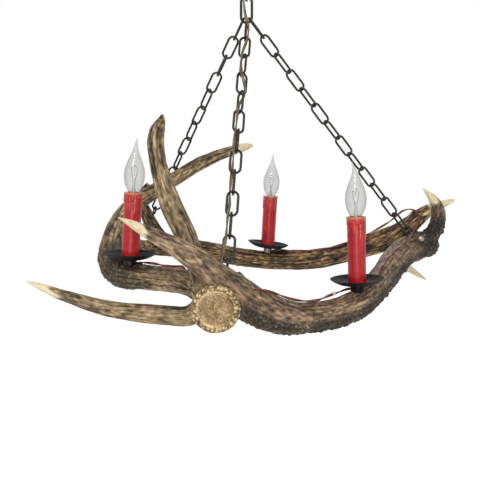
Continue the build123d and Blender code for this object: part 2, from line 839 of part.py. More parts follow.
for side, seat, lean, hub_width in CANDLES:
    seat_plane = Plane(Location(tuple(from_apex(*seat)), (0, lean, 0)))
    for way in (-1, 1):
        outside = (way * (hub_width / 2 + DOOR_APPROACH), 0, HUB_HEIGHT / 2)
        inside = (way * (hub_width / 2 - DOOR_DEPTH), 0, HUB_HEIGHT / 2)
        hub_doors[side, way] = [seat_plane.from_local_coords(outside), seat_plane.from_local_coords(inside)]
    for name, shape in common_pieces.items():
        save(seat_plane * shape, f"{name}_{side}")
    save(seat_plane * candle_hub(hub_width), f"candle_hub_{side}")
    wide = hub_width / 2 + SEAT_MARGIN
    hole = PIPE_HOLE / 2
    top = 3 * HUB_HEIGHT
    bottom = -PIPE_DEPTH_IN_ANTLER - DRILL_OVERRUN
    seat_outline = [(0, bottom), (hole, bottom), (hole, 0), (wide, 0), (wide, top), (0, top)]
    seat_cuts[side] = seat_plane * turned(seat_outline, SMALL_SIDES)


# ---- Cords ------------------------------------------------------------------------------------
def cord(points, diameter, sides, name):
    """A cord of straight runs joined by tangent arcs, each as large as its two runs allow."""
    runs = [after - before for before, after in zip(points, points[1:])]
    radii = []
    for before, after in zip(runs, runs[1:]):
        half_turn = math.radians(before.get_angle(after)) / 2
        radii.append(ARC_SHARE * min(before.length, after.length) / math.tan(half_turn))
    path = FilletPolyline(*points, radius=radii)
    stops = [(edge @ 0, edge % 0) for edge in path.edges()]
    stops.append((path @ 1, path % 1))
    reach = diameter / 2
    side = Vector(*CORD_TOP_WAY)
    rings = []
    for place, along in stops:
        side = (side - along * side.dot(along)).normalized()
        other = along.cross(side)
        ring = []
        for i in range(sides):
            turn = 2 * math.pi * i / sides
            ring.append(place + side * (reach * math.cos(turn)) + other * (reach * math.sin(turn)))
        rings.append(ring)
    body = solid_through(rings, twisted=True)
    section = sides * reach**2 * math.sin(2 * math.pi / sides) / 2
    share = body.volume / (section * path.length)
    print(name, "is", round(path.length), "mm long, its least radius", round(min(radii), 1))
    print("its volume over section times length:", round(share, 3))
    return body


def beside_front_chain(index, share, angle_deg, offset):
    """A place beside the front chain: at a link and a share of it, round the chain and out from it."""
    start, end, down = front_line
    count = round((end - start).length / (LINK_INNER_LENGTH - CONTACT_GAP))
    return start + (end - start) * ((index + share) / count) + flat_direction(down, angle_deg) * offset


front_line = chain_starts["front"]
flex_points = [
    Vector(0, 0, -STRAP_THICKNESS),
    Vector(0, 0, LOOP_CENTRE_Z + LOOP_RADIUS - LOOP_WIRE),
    Vector(*FLEX_BESIDE_LOOP, LOOP_BAR_Z + LOOP_WIRE),
    Vector(*FLEX_BESIDE_TOP_LINK, (TOP_LINK_TOP_Z + TOP_LINK_BOTTOM_Z) / 2),
    Vector(*FLEX_BESIDE_MASTER_LINK, TOP_LINK_BOTTOM_Z),
]
flex_points += [from_apex(*place) for place in FLEX_OVER_FIRST_LINKS]
for index, share, angle_deg, offset in FLEX_WEAVE:
    flex_points.append(beside_front_chain(index, share, angle_deg, offset))
flex_points += [from_apex(*place) for place in FLEX_END]
flex = cord(flex_points, FLEX_DIAMETER, FLEX_SIDES, "flex")
below_loop = split(flex, Plane(origin=(0, 0, LOOP_BAR_Z)), keep=Keep.BOTTOM)
save(split(flex, Plane(origin=(0, 0, LOOP_BAR_Z)), keep=Keep.TOP), "flex_cord_ceiling")
save(split(below_loop, Plane(origin=(0, 0, TOP_LINK_BOTTOM_Z)), keep=Keep.TOP), "flex_cord_link")
save(split(below_loop, Plane(origin=(0, 0, TOP_LINK_BOTTOM_Z)), keep=Keep.BOTTOM), "flex_cord_chain")


def wire_hole(inner, outer, diameter):
    """The drilled hole that a cord's end sits in, from its blind end outwards."""
    run = outer - inner
    return Plane(origin=inner, z_dir=run) * rod(diameter + 2 * HOLE_CLEARANCE, run.length, WIRE_SIDES)


flex_hole = wire_hole(flex_points[-1], flex_points[-2], FLEX_DIAMETER)
feeder_holes = []
for side, first_door, places, last_door in FEEDERS:
    route = [from_apex(*place) for place in places] + hub_doors[last_door]
    if first_door:
        route = hub_doors[first_door][::-1] + route
    else:
        feeder_holes.append(wire_hole(route[0], route[1], FEEDER_DIAMETER))
    save(cord(route, FEEDER_DIAMETER, FEEDER_SIDES, f"feeder_{side}"), f"feeder_wire_{side}")


def wire_clip(before, after):
    """A small saddle pressed over a wire, between two places on it."""
    block = Box(CLIP_LENGTH, CLIP_WIDTH, CLIP_HEIGHT, align=ON_BASE)
    channel = rod(FEEDER_DIAMETER + 2 * CONTACT_GAP, 2 * CLIP_LENGTH, WIRE_SIDES)
    block -= Pos(-CLIP_LENGTH, 0, 0) * Rot(0, 90, 0) * channel
    along = (after - before).normalized()
    up = (Vector(0, 0, 1) - along * along.Z).normalized()
    return Plane(origin=(before + after) / 2, x_dir=along, z_dir=up) * block


clip_ends = [from_apex(*place) for place in FEEDERS[0][2][-2:]]
save(wire_clip(*clip_ends), "wire_clip")


# ---- Antlers ----------------------------------------------------------------------------------
def joined(limbs):
    """The limbs of one antler grown into one solid."""
    whole = limbs[0]
    for other in limbs[1:]:
        whole = whole + other
    return whole


def drilled(antler, cuts):
    """An antler with its seats, screw holes and notches cut."""
    for cut in cuts:
        antler = antler - cut
    return antler


left_limbs = [limb(stations) for stations in (LEFT_BEAM, LEFT_BROW, LEFT_UPRIGHT, LEFT_KNOB)]
front_limbs = [limb(stations) for stations in (FRONT_BEAM, FRONT_BROW, FRONT_STUB)]
antler_left = joined(left_limbs + [burr(*LEFT_BURR)])
antler_front = joined(front_limbs + [burr(*FRONT_BURR)])
antler_back = joined([limb(stations) for stations in (BACK_BEAM, BACK_BROW, BACK_FORK)])
left_notches = [limb(stations, CONTACT_GAP) for stations in (LEFT_BEAM, LEFT_BROW, LEFT_UPRIGHT)]
front_notches = [limb(stations, CONTACT_GAP) for stations in (FRONT_BEAM, FRONT_BROW)]
front_cuts = [seat_cuts["front"], eye_holes["front"], eye_holes["right"], lag_holes[0], lag_holes[2]]
front_cuts += [flex_hole, feeder_holes[0]]
back_cuts = [seat_cuts["back"], eye_holes["left"], lag_holes[1], lag_holes[2]]
left_cuts = [seat_cuts["left"], lag_holes[0], lag_holes[1], feeder_holes[1]]
save(drilled(antler_left, left_cuts), "antler_left")
save(drilled(antler_front, left_notches + front_cuts), "antler_front")
save(drilled(antler_back, left_notches[:1] + front_notches + back_cuts), "antler_back")
print("built")
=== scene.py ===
# %% [markdown]
# # An antler chandelier
# Three shed antlers are joined in a ring and hung on three chains, with three candle lights on top.
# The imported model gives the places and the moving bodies. This script gives each piece its real
# surface: furrowed horn, beaded burrs, resin candles with wax drips, thin glass and painted chain.

import math

import bpy
import numpy as np
from mathutils import Matrix, Vector, noise


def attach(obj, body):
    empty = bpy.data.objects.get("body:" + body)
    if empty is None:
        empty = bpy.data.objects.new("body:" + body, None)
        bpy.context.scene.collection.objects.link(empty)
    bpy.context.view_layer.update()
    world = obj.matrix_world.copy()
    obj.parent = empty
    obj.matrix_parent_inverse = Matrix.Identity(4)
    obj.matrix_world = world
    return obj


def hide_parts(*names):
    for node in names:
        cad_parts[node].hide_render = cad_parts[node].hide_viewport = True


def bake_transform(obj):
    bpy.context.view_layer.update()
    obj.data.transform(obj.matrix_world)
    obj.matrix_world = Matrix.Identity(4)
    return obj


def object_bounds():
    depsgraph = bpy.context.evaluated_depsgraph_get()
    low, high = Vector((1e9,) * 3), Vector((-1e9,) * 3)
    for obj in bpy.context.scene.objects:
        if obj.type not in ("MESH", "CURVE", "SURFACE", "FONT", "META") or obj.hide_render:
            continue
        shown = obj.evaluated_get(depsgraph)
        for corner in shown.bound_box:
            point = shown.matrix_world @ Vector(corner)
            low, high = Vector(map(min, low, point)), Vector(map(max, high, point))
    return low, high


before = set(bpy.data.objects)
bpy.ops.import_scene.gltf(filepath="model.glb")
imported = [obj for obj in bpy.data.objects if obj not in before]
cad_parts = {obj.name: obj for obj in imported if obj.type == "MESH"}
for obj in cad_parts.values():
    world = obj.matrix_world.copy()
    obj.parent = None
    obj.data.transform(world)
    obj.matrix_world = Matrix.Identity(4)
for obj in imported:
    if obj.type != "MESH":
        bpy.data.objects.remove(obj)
cad_low, cad_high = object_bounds()
print("solids in the frame:", len(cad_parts))

# %% [markdown]
# ## Colours and nodes
# Colours are given as screen values, so one function turns them into the linear numbers
# that Blender's shaders expect. Another adds any shader node with its settings and links at once
# and gives back one output, which keeps each material short enough to read like a recipe.

# %% Colours and nodes
def linear(hex_colour):
    """A screen colour such as 8a6f4d as linear red, green, blue and alpha."""
    found = []
    for i in (0, 2, 4):
        part = int(hex_colour[i : i + 2], 16) / 255
        found.append(part / 12.92 if part <= 0.04045 else ((part + 0.055) / 1.055) ** 2.4)
    return (*found, 1.0)


def join(tree, node, inputs):
    """Each named input of a node given its value, or a link from another node."""
    for key, value in inputs.items():
        if isinstance(value, bpy.types.NodeSocket):
            tree.links.new(value, node.inputs[key])
        else:
            node.inputs[key].default_value = value


def add_node(tree, kind, inputs, output=0, stops=(), **settings):
    """One output of a new shader node, with its inputs, colour stops and settings made."""
    node = tree.nodes.new("ShaderNode" + kind)
    for name, value in settings.items():
        setattr(node, name, value)
    join(tree, node, inputs)
    for i, (position, colour) in enumerate(stops):
        elements = node.color_ramp.elements
        element = elements[i] if i < len(elements) else elements.new(position)
        element.position = position
        element.color = linear(colour)
    return node.outputs[output]


print("mid grey in linear light:", linear("808080"))

# %% [markdown]
# Two recipes come back in most finishes. One is a cloudy pattern measured in the object's own
# millimetres. The other is a sum of several patterns, each with its own weight, which decides how
# light or how rough a spot is.

# %% Recipes that finishes share
def new_finish(name):
    """An empty material with its tree and its main shader."""
    material = bpy.data.materials.new(name)
    material.use_nodes = True
    tree = material.node_tree
    return material, tree, tree.nodes["Principled BSDF"]


def mottling(tree, size_mm, detail=4.0, roughness=0.55):
    """A cloudy pattern whose grains are about size_mm across."""
    place = add_node(tree, "TexCoord", {}, "Object")
    scale = [1000 / size_mm] * 3
    scaled = add_node(tree, "VectorMath", {0: place, 1: scale}, operation="MULTIPLY")
    inputs = {"Vector": scaled, "Scale": 1.0, "Detail": detail, "Roughness": roughness}
    return add_node(tree, "TexNoise", inputs, "Fac")


def weighed(tree, start, *parts):
    """A number that starts at start, with each pattern added at its own weight."""
    total = start
    for pattern, weight in parts:
        inputs = {0: pattern, 1: weight, 2: total}
        total = add_node(tree, "Math", inputs, operation="MULTIPLY_ADD")
    return total


def fine_relief(tree, height, depth_mm, strength=1.0):
    """Inputs of a shader's normal for relief that is too fine for the mesh."""
    inputs = {"Height": height, "Distance": depth_mm / 1000, "Strength": strength}
    return add_node(tree, "Bump", inputs)


# %% [markdown]
# ## Antler
# An antler is bone. While it grows, blood vessels press furrows into it, and rubbing on bark and
# soil stains it brown. The ridges and points are polished back to ivory. So the colour follows the
# relief: the mesh carries how deep each point lies in a furrow, how near it is to a bare tip and
# how beaded it is, and the shader reads those numbers with streaks that run along the limb.

# %% Scales and tones of antler
# Stain lines between the furrows are about 0.5 mm wide, drawn three times as coarse to show.
STREAK_MM = 1.5
# The broad furrows lie 5 to 10 mm apart.
BAND_MM = 7.0
# Worn beads on the rough parts.
GRIT_MM = 2.6
# Patches that lay longer in the soil or were rubbed on bark.
STAIN_MM = 45.0
# Pores of the bone are about 0.3 mm, drawn coarser to show.
PORE_MM = 1.1
BONE_IOR = 1.54
TONE_PLACES = (0.10, 0.35, 0.60, 0.86)
# Darker grey-green colour that the beads take.
DARK_BEAD_STOPS = ((0.19, "161611"), (0.46, "37352c"), (0.99, "857e64"))
IVORY_STOPS = ((0.26, "ab8d5a"), (0.42, "dac89b"), (0.64, "eee3c4"))
# Pale cream for patches that are partly polish from rubbing and partly a painted highlight on the
# ridges.
RUB_AND_HIGHLIGHT_TONE = linear("d6c39c")


# %% Antler finish
def antler_finish(name, tones, stretch, speckle, contrast, lightness):
    """Stained and worn antler in four tones, its streaks stretched along the limb, its pale patches
    part polish and part painted highlight.
    """
    material, tree, shader = new_finish(name)
    relief, bare, pearl = (
        add_node(tree, "Attribute", {}, "Fac", attribute_name=field)
        for field in ("relief", "bare", "pearl")
    )
    grain = add_node(tree, "Attribute", {}, "Vector", attribute_name="grain")
    layers = []
    for size_mm, detail in ((STREAK_MM, 5.0), (BAND_MM, 3.0)):
        scale = (1 / size_mm, 1 / size_mm, 1 / size_mm / stretch)
        along = add_node(tree, "VectorMath", {0: grain, 1: scale}, operation="MULTIPLY")
        inputs = {"Vector": along, "Scale": 1.0, "Detail": detail, "Roughness": 0.62}
        layers.append(add_node(tree, "TexNoise", inputs, "Fac"))
    streaks, bands = layers
    stain = mottling(tree, STAIN_MM, 3.0)
    grit = mottling(tree, GRIT_MM, 4.0, 0.65)
    share = weighed(tree, speckle, (pearl, 1 - speckle))
    rough = add_node(tree, "Mix", {0: share, 2: streaks, 3: grit}, data_type="FLOAT")
    level = weighed(tree, -1.65, (relief, 0.7), (rough, 1.25), (bands, 0.4), (stain, 0.55))
    # Darker on the beads, and tinted grey-green a few lines below. On the front antler the beads
    # lie under the beam, so its underside comes out darker.
    level = weighed(tree, lightness, (weighed(tree, level, (pearl, -0.3)), contrast))
    colour = add_node(tree, "ValToRGB", {"Fac": level}, stops=zip(TONE_PLACES, tones))
    # Pale cream patches on ridges and in broad stains: partly bone polished by rubbing, partly a
    # painted highlight standing in for gloss.
    rub_and_highlight = weighed(tree, -3.12, (streaks, 1.6), (stain, 3.0), (relief, 0.5))
    rub_and_highlight = add_node(tree, "Clamp", {"Value": rub_and_highlight, "Max": 0.5})
    dark_bead_colour = add_node(tree, "ValToRGB", {"Fac": level}, stops=DARK_BEAD_STOPS)
    ivory = add_node(tree, "ValToRGB", {"Fac": streaks}, stops=IVORY_STOPS)
    dark_bead_share = weighed(tree, 0.0, (pearl, 0.75))
    for factor, over in ((rub_and_highlight, RUB_AND_HIGHLIGHT_TONE), (dark_bead_share, dark_bead_colour), (bare, ivory)):
        colour = add_node(tree, "Mix", {0: factor, 6: colour, 7: over}, 2, data_type="RGBA")
    fine = weighed(tree, mottling(tree, PORE_MM, 2.0), (rough, 1.6))
    fine = weighed(tree, 0.0, (fine, weighed(tree, 1.0, (bare, -0.8))))
    inputs = {
        "Base Color": colour,
        "Roughness": weighed(tree, 0.72, (relief, -0.20), (bare, -0.15)),
        "IOR": BONE_IOR,
        "Specular IOR Level": 0.22,
        "Normal": fine_relief(tree, fine, 0.55, 0.8),
    }
    join(tree, shader, inputs)
    return material


# Weathered beam: grey brown, speckled more than streaked, matte.
GREY_TONES = ("241c16", "594838", "8b735c", "c3a781")
grey_antler = antler_finish("grey brown antler", GREY_TONES, 8, 0.45, 1.0, 0.56)
# Younger horn: tan with long olive streaks.
TAN_TONES = ("2a2219", "60523d", "957f5f", "cdb488")
tan_antler = antler_finish("tan antler", TAN_TONES, 19, 0.25, 1.05, 0.61)
# Peat-stained horn: nearly black furrows and ochre ridges.
DARK_TONES = ("1a130c", "4c3b2b", "826646", "cba568")
dark_antler = antler_finish("dark brown antler", DARK_TONES, 20, 0.20, 1.10, 0.58)
print("antler finishes:", len(bpy.data.materials))

# %% [markdown]
# ## The shed face
# Where an antler dropped from the skull it leaves a rough, porous, almost flat face inside a crown
# of beads. It is paler than the beam, because nothing has stained it. Dark pits and the gaps
# between the beads come from the mesh's own relief.

# %% Shed face finish
def shed_face_finish(name, gap, body, pale):
    """Porous bone, pale on the raised parts and brown in the pits."""
    material, tree, shader = new_finish(name)
    relief = add_node(tree, "Attribute", {}, "Fac", attribute_name="relief")
    grit = mottling(tree, 1.6, 5.0, 0.65)
    blotch = mottling(tree, 9.0, 3.0)
    level = weighed(tree, -0.42, (relief, 0.7), (grit, 0.75), (blotch, 0.35))
    stops = ((0.10, gap), (0.45, body), (0.85, pale))
    inputs = {
        "Base Color": add_node(tree, "ValToRGB", {"Fac": level}, stops=stops),
        "Roughness": 0.78,
        "IOR": BONE_IOR,
        "Normal": fine_relief(tree, grit, 0.7, 0.9),
    }
    join(tree, shader, inputs)
    return material


# Open bone: pale sand, dull and pitted.
pale_burr = shed_face_finish("shed antler face", "3a2b1c", "92774f", "d9c394")
# The same bone after years of handling: brown in every pit.
brown_burr = shed_face_finish("stained antler burr", "17110c", "4a3d31", "8a7558")

# %% [markdown]
# ## Paint, metal and vinyl
# The pans are spun steel in flat black. The chain is steel dipped in oil-rubbed bronze, so it is
# nearly black with brown where links rub. All of these are one plain coat with a second tone in
# its worn patches, so one function makes them, each with its own tones, grain and gloss.

# %% Plain finishes
def worn_coat(name, deep, worn, size_mm, roughness, metallic=0.0, bump_mm=0.05, specular=0.5):
    """Paint, plating or plastic with a second tone in its worn patches."""
    material, tree, shader = new_finish(name)
    patches = mottling(tree, size_mm, 5.0, 0.6)
    fine = mottling(tree, size_mm / 6, 3.0)
    stops = ((0.38, deep), (0.68, worn))
    inputs = {
        "Base Color": add_node(tree, "ValToRGB", {"Fac": patches}, stops=stops),
        "Roughness": weighed(tree, roughness - 0.12, (fine, 0.25)),
        "Metallic": metallic,
        "Specular IOR Level": specular,
        "Normal": fine_relief(tree, fine, bump_mm),
    }
    join(tree, shader, inputs)
    return material


# Dipped steel chain: near black, a brown gleam where links rub.
bronze_chain = worn_coat("oil rubbed bronze", "141410", "403c30", 5.0, 0.42, 0.55, 0.10)
# Sprayed ceiling fitting: smooth dark brown.
bronze_paint = worn_coat("bronze enamel", "1a1410", "35291e", 14.0, 0.40, 0.3)
# Drip pans: matte black that hardly reflects.
black_paint = worn_coat("flat black enamel", "0a0b0b", "171918", 6.0, 0.58, specular=0.13)
# Screws, nuts and pipes: dull silver with a grey bloom.
zinc_steel = worn_coat("zinc plated steel", "6e6a60", "b3ae9f", 3.0, 0.38, 0.85)
# Moulded lamp sockets: black with a soft shine.
phenolic = worn_coat("black phenolic", "0c0c0c", "1b1a18", 4.0, 0.5)
# Bulb caps and socket shells: warm drawn metal.
brass = worn_coat("drawn brass", "8f6a2c", "c9a24e", 4.0, 0.3, 0.9)
# Filament and its lead wires: thin grey metal.
tungsten = worn_coat("tungsten wire", "3c3d40", "6a6b70", 0.6, 0.35, 0.9, 0.01)
# Supply flex: aged vinyl, olive to brown.
olive_vinyl = worn_coat("olive brown vinyl", "463a20", "7c6a42", 3.0, 0.42, 0.0, 0.08)
# Thin flex from candle to candle: red brown.
brown_vinyl = worn_coat("red brown vinyl", "54221a", "80392a", 3.0, 0.4)
# Moulded clip: off-white.
white_nylon = worn_coat("white nylon", "c8c6bc", "e2e0d8", 3.0, 0.45)
print("plain finishes done, materials so far:", len(bpy.data.materials))

# %% [markdown]
# ## Resin candles
# The candle covers are cast polyresin, red, with a thin rub of gold on the edges of the drips.
# The mesh carries where the gold is rubbed on, and specks break its edge up.

# %% Red resin
red_resin, tree, shader = new_finish("red polyresin")
rub = add_node(tree, "Attribute", {}, "Fac", attribute_name="rub")
cloud = mottling(tree, 16.0, 4.0, 0.6)
specks = mottling(tree, 1.8, 4.0, 0.6)
stops = ((0.30, "8e1218"), (0.50, "b01a20"), (0.72, "c42a2c"))
red = add_node(tree, "ValToRGB", {"Fac": cloud}, stops=stops)
stops = ((0.35, "b4603a"), (0.65, "f0b880"))
gold = add_node(tree, "ValToRGB", {"Fac": specks}, stops=stops)
ragged = weighed(tree, -0.45, (rub, 1.0), (specks, 0.7))
ragged = add_node(tree, "Clamp", {"Value": ragged})
inputs = {
    "Base Color": add_node(tree, "Mix", {0: ragged, 6: red, 7: gold}, 2, data_type="RGBA"),
    "Roughness": 0.34,
    "IOR": 1.5,
    "Specular IOR Level": 0.4,
    "Normal": fine_relief(tree, specks, 0.22, 0.8),
}
join(tree, shader, inputs)
print("made", red_resin.name)

# %% [markdown]
# ## Glass
# The bulbs are thin soda glass. What one sees is mostly the background, a darker line at the edge
# and the lamps' reflections. Layer Weight gives that line without tracing light through the wall.

# %% Glass
def glass_finish(name, tint, pale, middle, edge):
    """Thin glass: nearly clear when seen square on, and denser towards its edges."""
    material, tree, shader = new_finish(name)
    facing = add_node(tree, "LayerWeight", {"Blend": 0.5}, "Facing")
    dense = add_node(tree, "Math", {0: facing, 1: 2.2}, operation="POWER")
    film = mottling(tree, 12.0, 2.0)
    stops = ((0.3, tint), (0.7, pale))
    inputs = {
        "Base Color": add_node(tree, "ValToRGB", {"Fac": film}, stops=stops),
        "Alpha": weighed(tree, middle, (dense, edge - middle)),
        "Roughness": 0.05,
        "IOR": 1.52,
        "Specular IOR Level": 1.0,
    }
    join(tree, shader, inputs)
    return material


# Blown envelope: grey over a white wall, with a darker edge.
clear_glass = glass_finish("blown clear glass", "74776e", "8e9187", 0.27, 0.82)
# Pressed stem, painted near white and bluish so that it shows as a bright streak: a painted
# highlight on a thick glass stem.
stem_glass_painted_highlight = glass_finish("pressed stem with painted highlight", "d5dbe4", "f4f7fa", 0.75, 0.95)
print("finishes:", len(bpy.data.materials))

# %% [markdown]
# ## Camera
# The camera stands a metre in front, a little above the antlers, and looks 6.5 degrees down. Its
# lens comes from the perspective of the three candles, which stand at different distances.

# %% Camera
APEX_MM = np.array([0.0, 0.0, -131.05])
FOCAL_PIXELS = 630.0
PICTURE_PIXELS = 480.0
SENSOR_MM = 36.0
CAMERA_PLACE = (-0.0104, -1.0440, -0.3633)
CAMERA_PITCH_DEG = 6.5


def set_in_scene(name, data):
    """A new object of the studio, in the scene."""
    thing = bpy.data.objects.new(name, data)
    bpy.context.scene.collection.objects.link(thing)
    return thing


camera_data = bpy.data.cameras.new("camera")
camera_data.sensor_width = SENSOR_MM
camera_data.lens = FOCAL_PIXELS / PICTURE_PIXELS * SENSOR_MM
camera_data.clip_end = 50.0
camera = set_in_scene("camera", camera_data)
camera.location = CAMERA_PLACE
camera.rotation_euler = (math.radians(90 - CAMERA_PITCH_DEG), 0.0, 0.0)
bpy.context.scene.camera = camera
bpy.context.scene.view_settings.view_transform = "Standard"
print("lens:", round(camera_data.lens, 2), "mm")

# %% [markdown]
# ## Light
# The light is plain: a soft lamp above the camera, a tall narrow one level with it that draws the
# streak on glass and resin, a weak one on the right, one behind, and a pale world. Together they
# are set to show a mid grey about as the grey it is.

# %% Lamps
RING_MIDDLE = Vector((0.05, 0.0, -0.45))


def add_lamp(name, place, size, power):
    """A soft lamp, size metres wide and high, that points at the middle of the ring."""
    data = bpy.data.lights.new(name, "AREA")
    data.shape = "RECTANGLE"
    data.size, data.size_y = size
    data.energy = power
    lamp = set_in_scene(name, data)
    lamp.location = place
    aim = RING_MIDDLE - lamp.location
    lamp.rotation_euler = aim.to_track_quat("-Z", "Y").to_euler()
    print(name, power, "W")


add_lamp("key lamp", (-0.6, -2.0, 1.3), (0.9, 0.9), 31.0)
add_lamp("window lamp", (-0.12, -1.8, -0.38), (0.36, 0.9), 9.0)
add_lamp("fill lamp", (1.9, -1.3, 0.1), (1.4, 1.4), 6.0)
add_lamp("back lamp", (0.6, 1.8, 0.9), (1.2, 1.2), 12.0)

# %% [markdown]
# The floor and backdrop look white to the camera by their own colour, so no extra light falls on
# the object. Mirrors and glass see that white too. Near the object the floor glows less, so that
# its shadow stays.

# %% World and floor
WORLD_LIGHT = 0.34
FLOOR_Z = -1.3
FLOOR_HALF = 6.0
FLOOR_GLOW = 0.66
NEAR_GLOW = 0.16
SHADE_REACH_M = 2.6
WHITE = (1, 1, 1, 1)


def seen_plainly(tree):
    """One for rays from the camera, from mirrors and through glass, else zero."""
    seen = 0.0
    for ray in ("Is Camera Ray", "Is Glossy Ray", "Is Transmission Ray"):
        inputs = {0: add_node(tree, "LightPath", {}, ray), 1: seen}
        seen = add_node(tree, "Math", inputs, operation="MAXIMUM")
    return seen


world = bpy.data.worlds.new("studio")
world.use_nodes = True
bpy.context.scene.world = world
sky = world.node_tree
strength = weighed(sky, WORLD_LIGHT, (seen_plainly(sky), 1 - WORLD_LIGHT))
join(sky, sky.nodes["Background"], {"Color": WHITE, "Strength": strength})

floor_finish, tree, shader = new_finish("pale studio floor")
place = add_node(tree, "TexCoord", {}, "Object")
away = add_node(tree, "VectorMath", {0: place}, "Value", operation="LENGTH")
inputs = {"Value": away, "From Max": SHADE_REACH_M, "To Min": NEAR_GLOW, "To Max": FLOOR_GLOW}
glow = weighed(tree, 0.0, (seen_plainly(tree), add_node(tree, "MapRange", inputs)))
stops = ((0.2, "f4f4f2"), (0.8, "f8f8f7"))
pale = add_node(tree, "ValToRGB", {"Fac": mottling(tree, 400.0, 2.0)}, stops=stops)
inputs = {"Base Color": pale, "Roughness": 0.9, "Emission Color": WHITE, "Emission Strength": glow}
join(tree, shader, inputs)
floor_mesh = bpy.data.meshes.new("studio_floor")
ways = ((-1, -1), (1, -1), (1, 1), (-1, 1))
corners = [(FLOOR_HALF * x, FLOOR_HALF * y, FLOOR_Z) for x, y in ways]
floor_mesh.from_pydata(corners, [], [(0, 1, 2, 3)])
floor_mesh.materials.append(floor_finish)
floor = set_in_scene("studio_floor", floor_mesh)
print("floor at", FLOOR_Z, "m")

# %% [markdown]
# ## Making a piece
# Every shape below ends as a list of points and faces in millimetres. One function turns it into
# an object in metres, gives it its finish, says which solids of the frame it stands for and which
# moving body carries it.

# %% Piece maker
def set_piece(name, mesh, finish, body, stands_for, fields):
    """A mesh as a piece of the scene, with the numbers that its finish reads at each point."""
    for field, values in fields.items():
        values = np.asarray(values, dtype=np.float32)
        kind, key = ("FLOAT_VECTOR", "vector") if values.ndim == 2 else ("FLOAT", "value")
        layer = mesh.attributes.new(field, kind, "POINT")
        layer.data.foreach_set(key, values.ravel())
    mesh.materials.clear()
    mesh.materials.append(finish)
    piece = set_in_scene(name, mesh)
    if stands_for:
        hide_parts(*stands_for)
    if body:
        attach(piece, body)
    print(name, "faces:", len(mesh.polygons))
    return piece


def make_piece(name, points, faces, finish, body, stands_for, slot, sharp_deg=50, fields=None):
    """A piece from points in millimetres. Edges sharper than sharp_deg stay crisp."""
    mesh = bpy.data.meshes.new(name)
    mesh.from_pydata([tuple(point) for point in np.asarray(points) / 1000], [], faces)
    mesh.validate()
    mesh.shade_smooth()
    mesh.set_sharp_from_angle(angle=math.radians(sharp_deg))
    return set_piece(name, mesh, finish, body, stands_for, fields or {})


# %% [markdown]
# Small tools make the points and faces: a net of quads over rows of points, a profile turned on an
# axis as on a lathe, a shape set in its place, and several shapes gathered in one.

# %% Points and faces
def grid_faces(rows, columns, closed=False):
    """Quads between rows of points, each row closed on itself, and the rows too if closed."""
    faces = []
    for row in range(rows if closed else rows - 1):
        low, high = row * columns, (row + 1) % rows * columns
        for column in range(columns):
            after = (column + 1) % columns
            faces.append((low + column, low + after, high + after, high + column))
    return faces


def capped_faces(rows, columns):
    """The same net, with a flat face over its first and its last row."""
    ends = [tuple(range(columns))[::-1], tuple(range((rows - 1) * columns, rows * columns))]
    return grid_faces(rows, columns) + ends


def turned(profile, sides):
    """Points and faces of a profile of (radius, height) turned about the Z axis."""
    points = []
    for radius, height in profile:
        for i in range(sides):
            turn = 2 * math.pi * i / sides
            points.append((radius * math.cos(turn), radius * math.sin(turn), height))
    return np.array(points), grid_faces(len(profile), sides)


def placed(points, matrix):
    """Points in millimetres moved by a matrix in millimetres."""
    rotation = np.array(matrix.to_3x3())
    return np.asarray(points) @ rotation.T + np.array(matrix.translation)


def standing(place, way):
    """The matrix of a shape that stands at a place from the apex, with its Z axis along way."""
    turn = Vector(way).normalized().to_track_quat("Z", "Y").to_matrix().to_4x4()
    return Matrix.Translation(Vector(place) + Vector(APEX_MM)) @ turn


def gathered(shapes):
    """Several shapes of points and faces as one."""
    points, faces = np.zeros((0, 3)), []
    for shape_points, shape_faces in shapes:
        faces += [tuple(corner + len(points) for corner in face) for face in shape_faces]
        points = np.vstack([points, shape_points])
    return points, faces


# %% [markdown]
# A few more tools follow: smooth noise at one place or at many, an easy step from zero to one, the
# mesh that a helper object comes to, and the places of a mesh's points.

# %% Noise and helper meshes
def wander(x, y, z):
    """Smooth noise from about -1 to 1 at one place."""
    return noise.noise(Vector((x, y, z)))


def wander_at(places):
    """The same noise at each row of places."""
    return np.array([noise.noise(Vector(place)) for place in places.tolist()])


def smooth_step(values):
    """Zero below 0, one above 1 and an easy curve between."""
    values = np.clip(values, 0, 1)
    return values * values * (3 - 2 * values)


def evaluated_mesh(helper):
    """The mesh that a helper object comes to. The helper itself is taken away."""
    result = helper.evaluated_get(bpy.context.evaluated_depsgraph_get())
    mesh = bpy.data.meshes.new_from_object(result)
    bpy.data.objects.remove(helper)
    return mesh


def mesh_points(mesh):
    """The places of a mesh's points, in its own unit."""
    places = np.zeros(len(mesh.vertices) * 3)
    mesh.vertices.foreach_get("co", places)
    return places.reshape(-1, 3)


# %% [markdown]
# ## Cords
# The supply cord is flat twin flex, two lobes side by side. It leaves the fitting's bore, passes
# the two big links and weaves down beside the front chain into a hole in the front antler. Thinner
# brown flex runs on from candle to candle. Each route is the list of points that the solid model
# uses, and a NURBS spline rounds it off. The horn is raised a little under each brown flex, so
# these lines are read first.

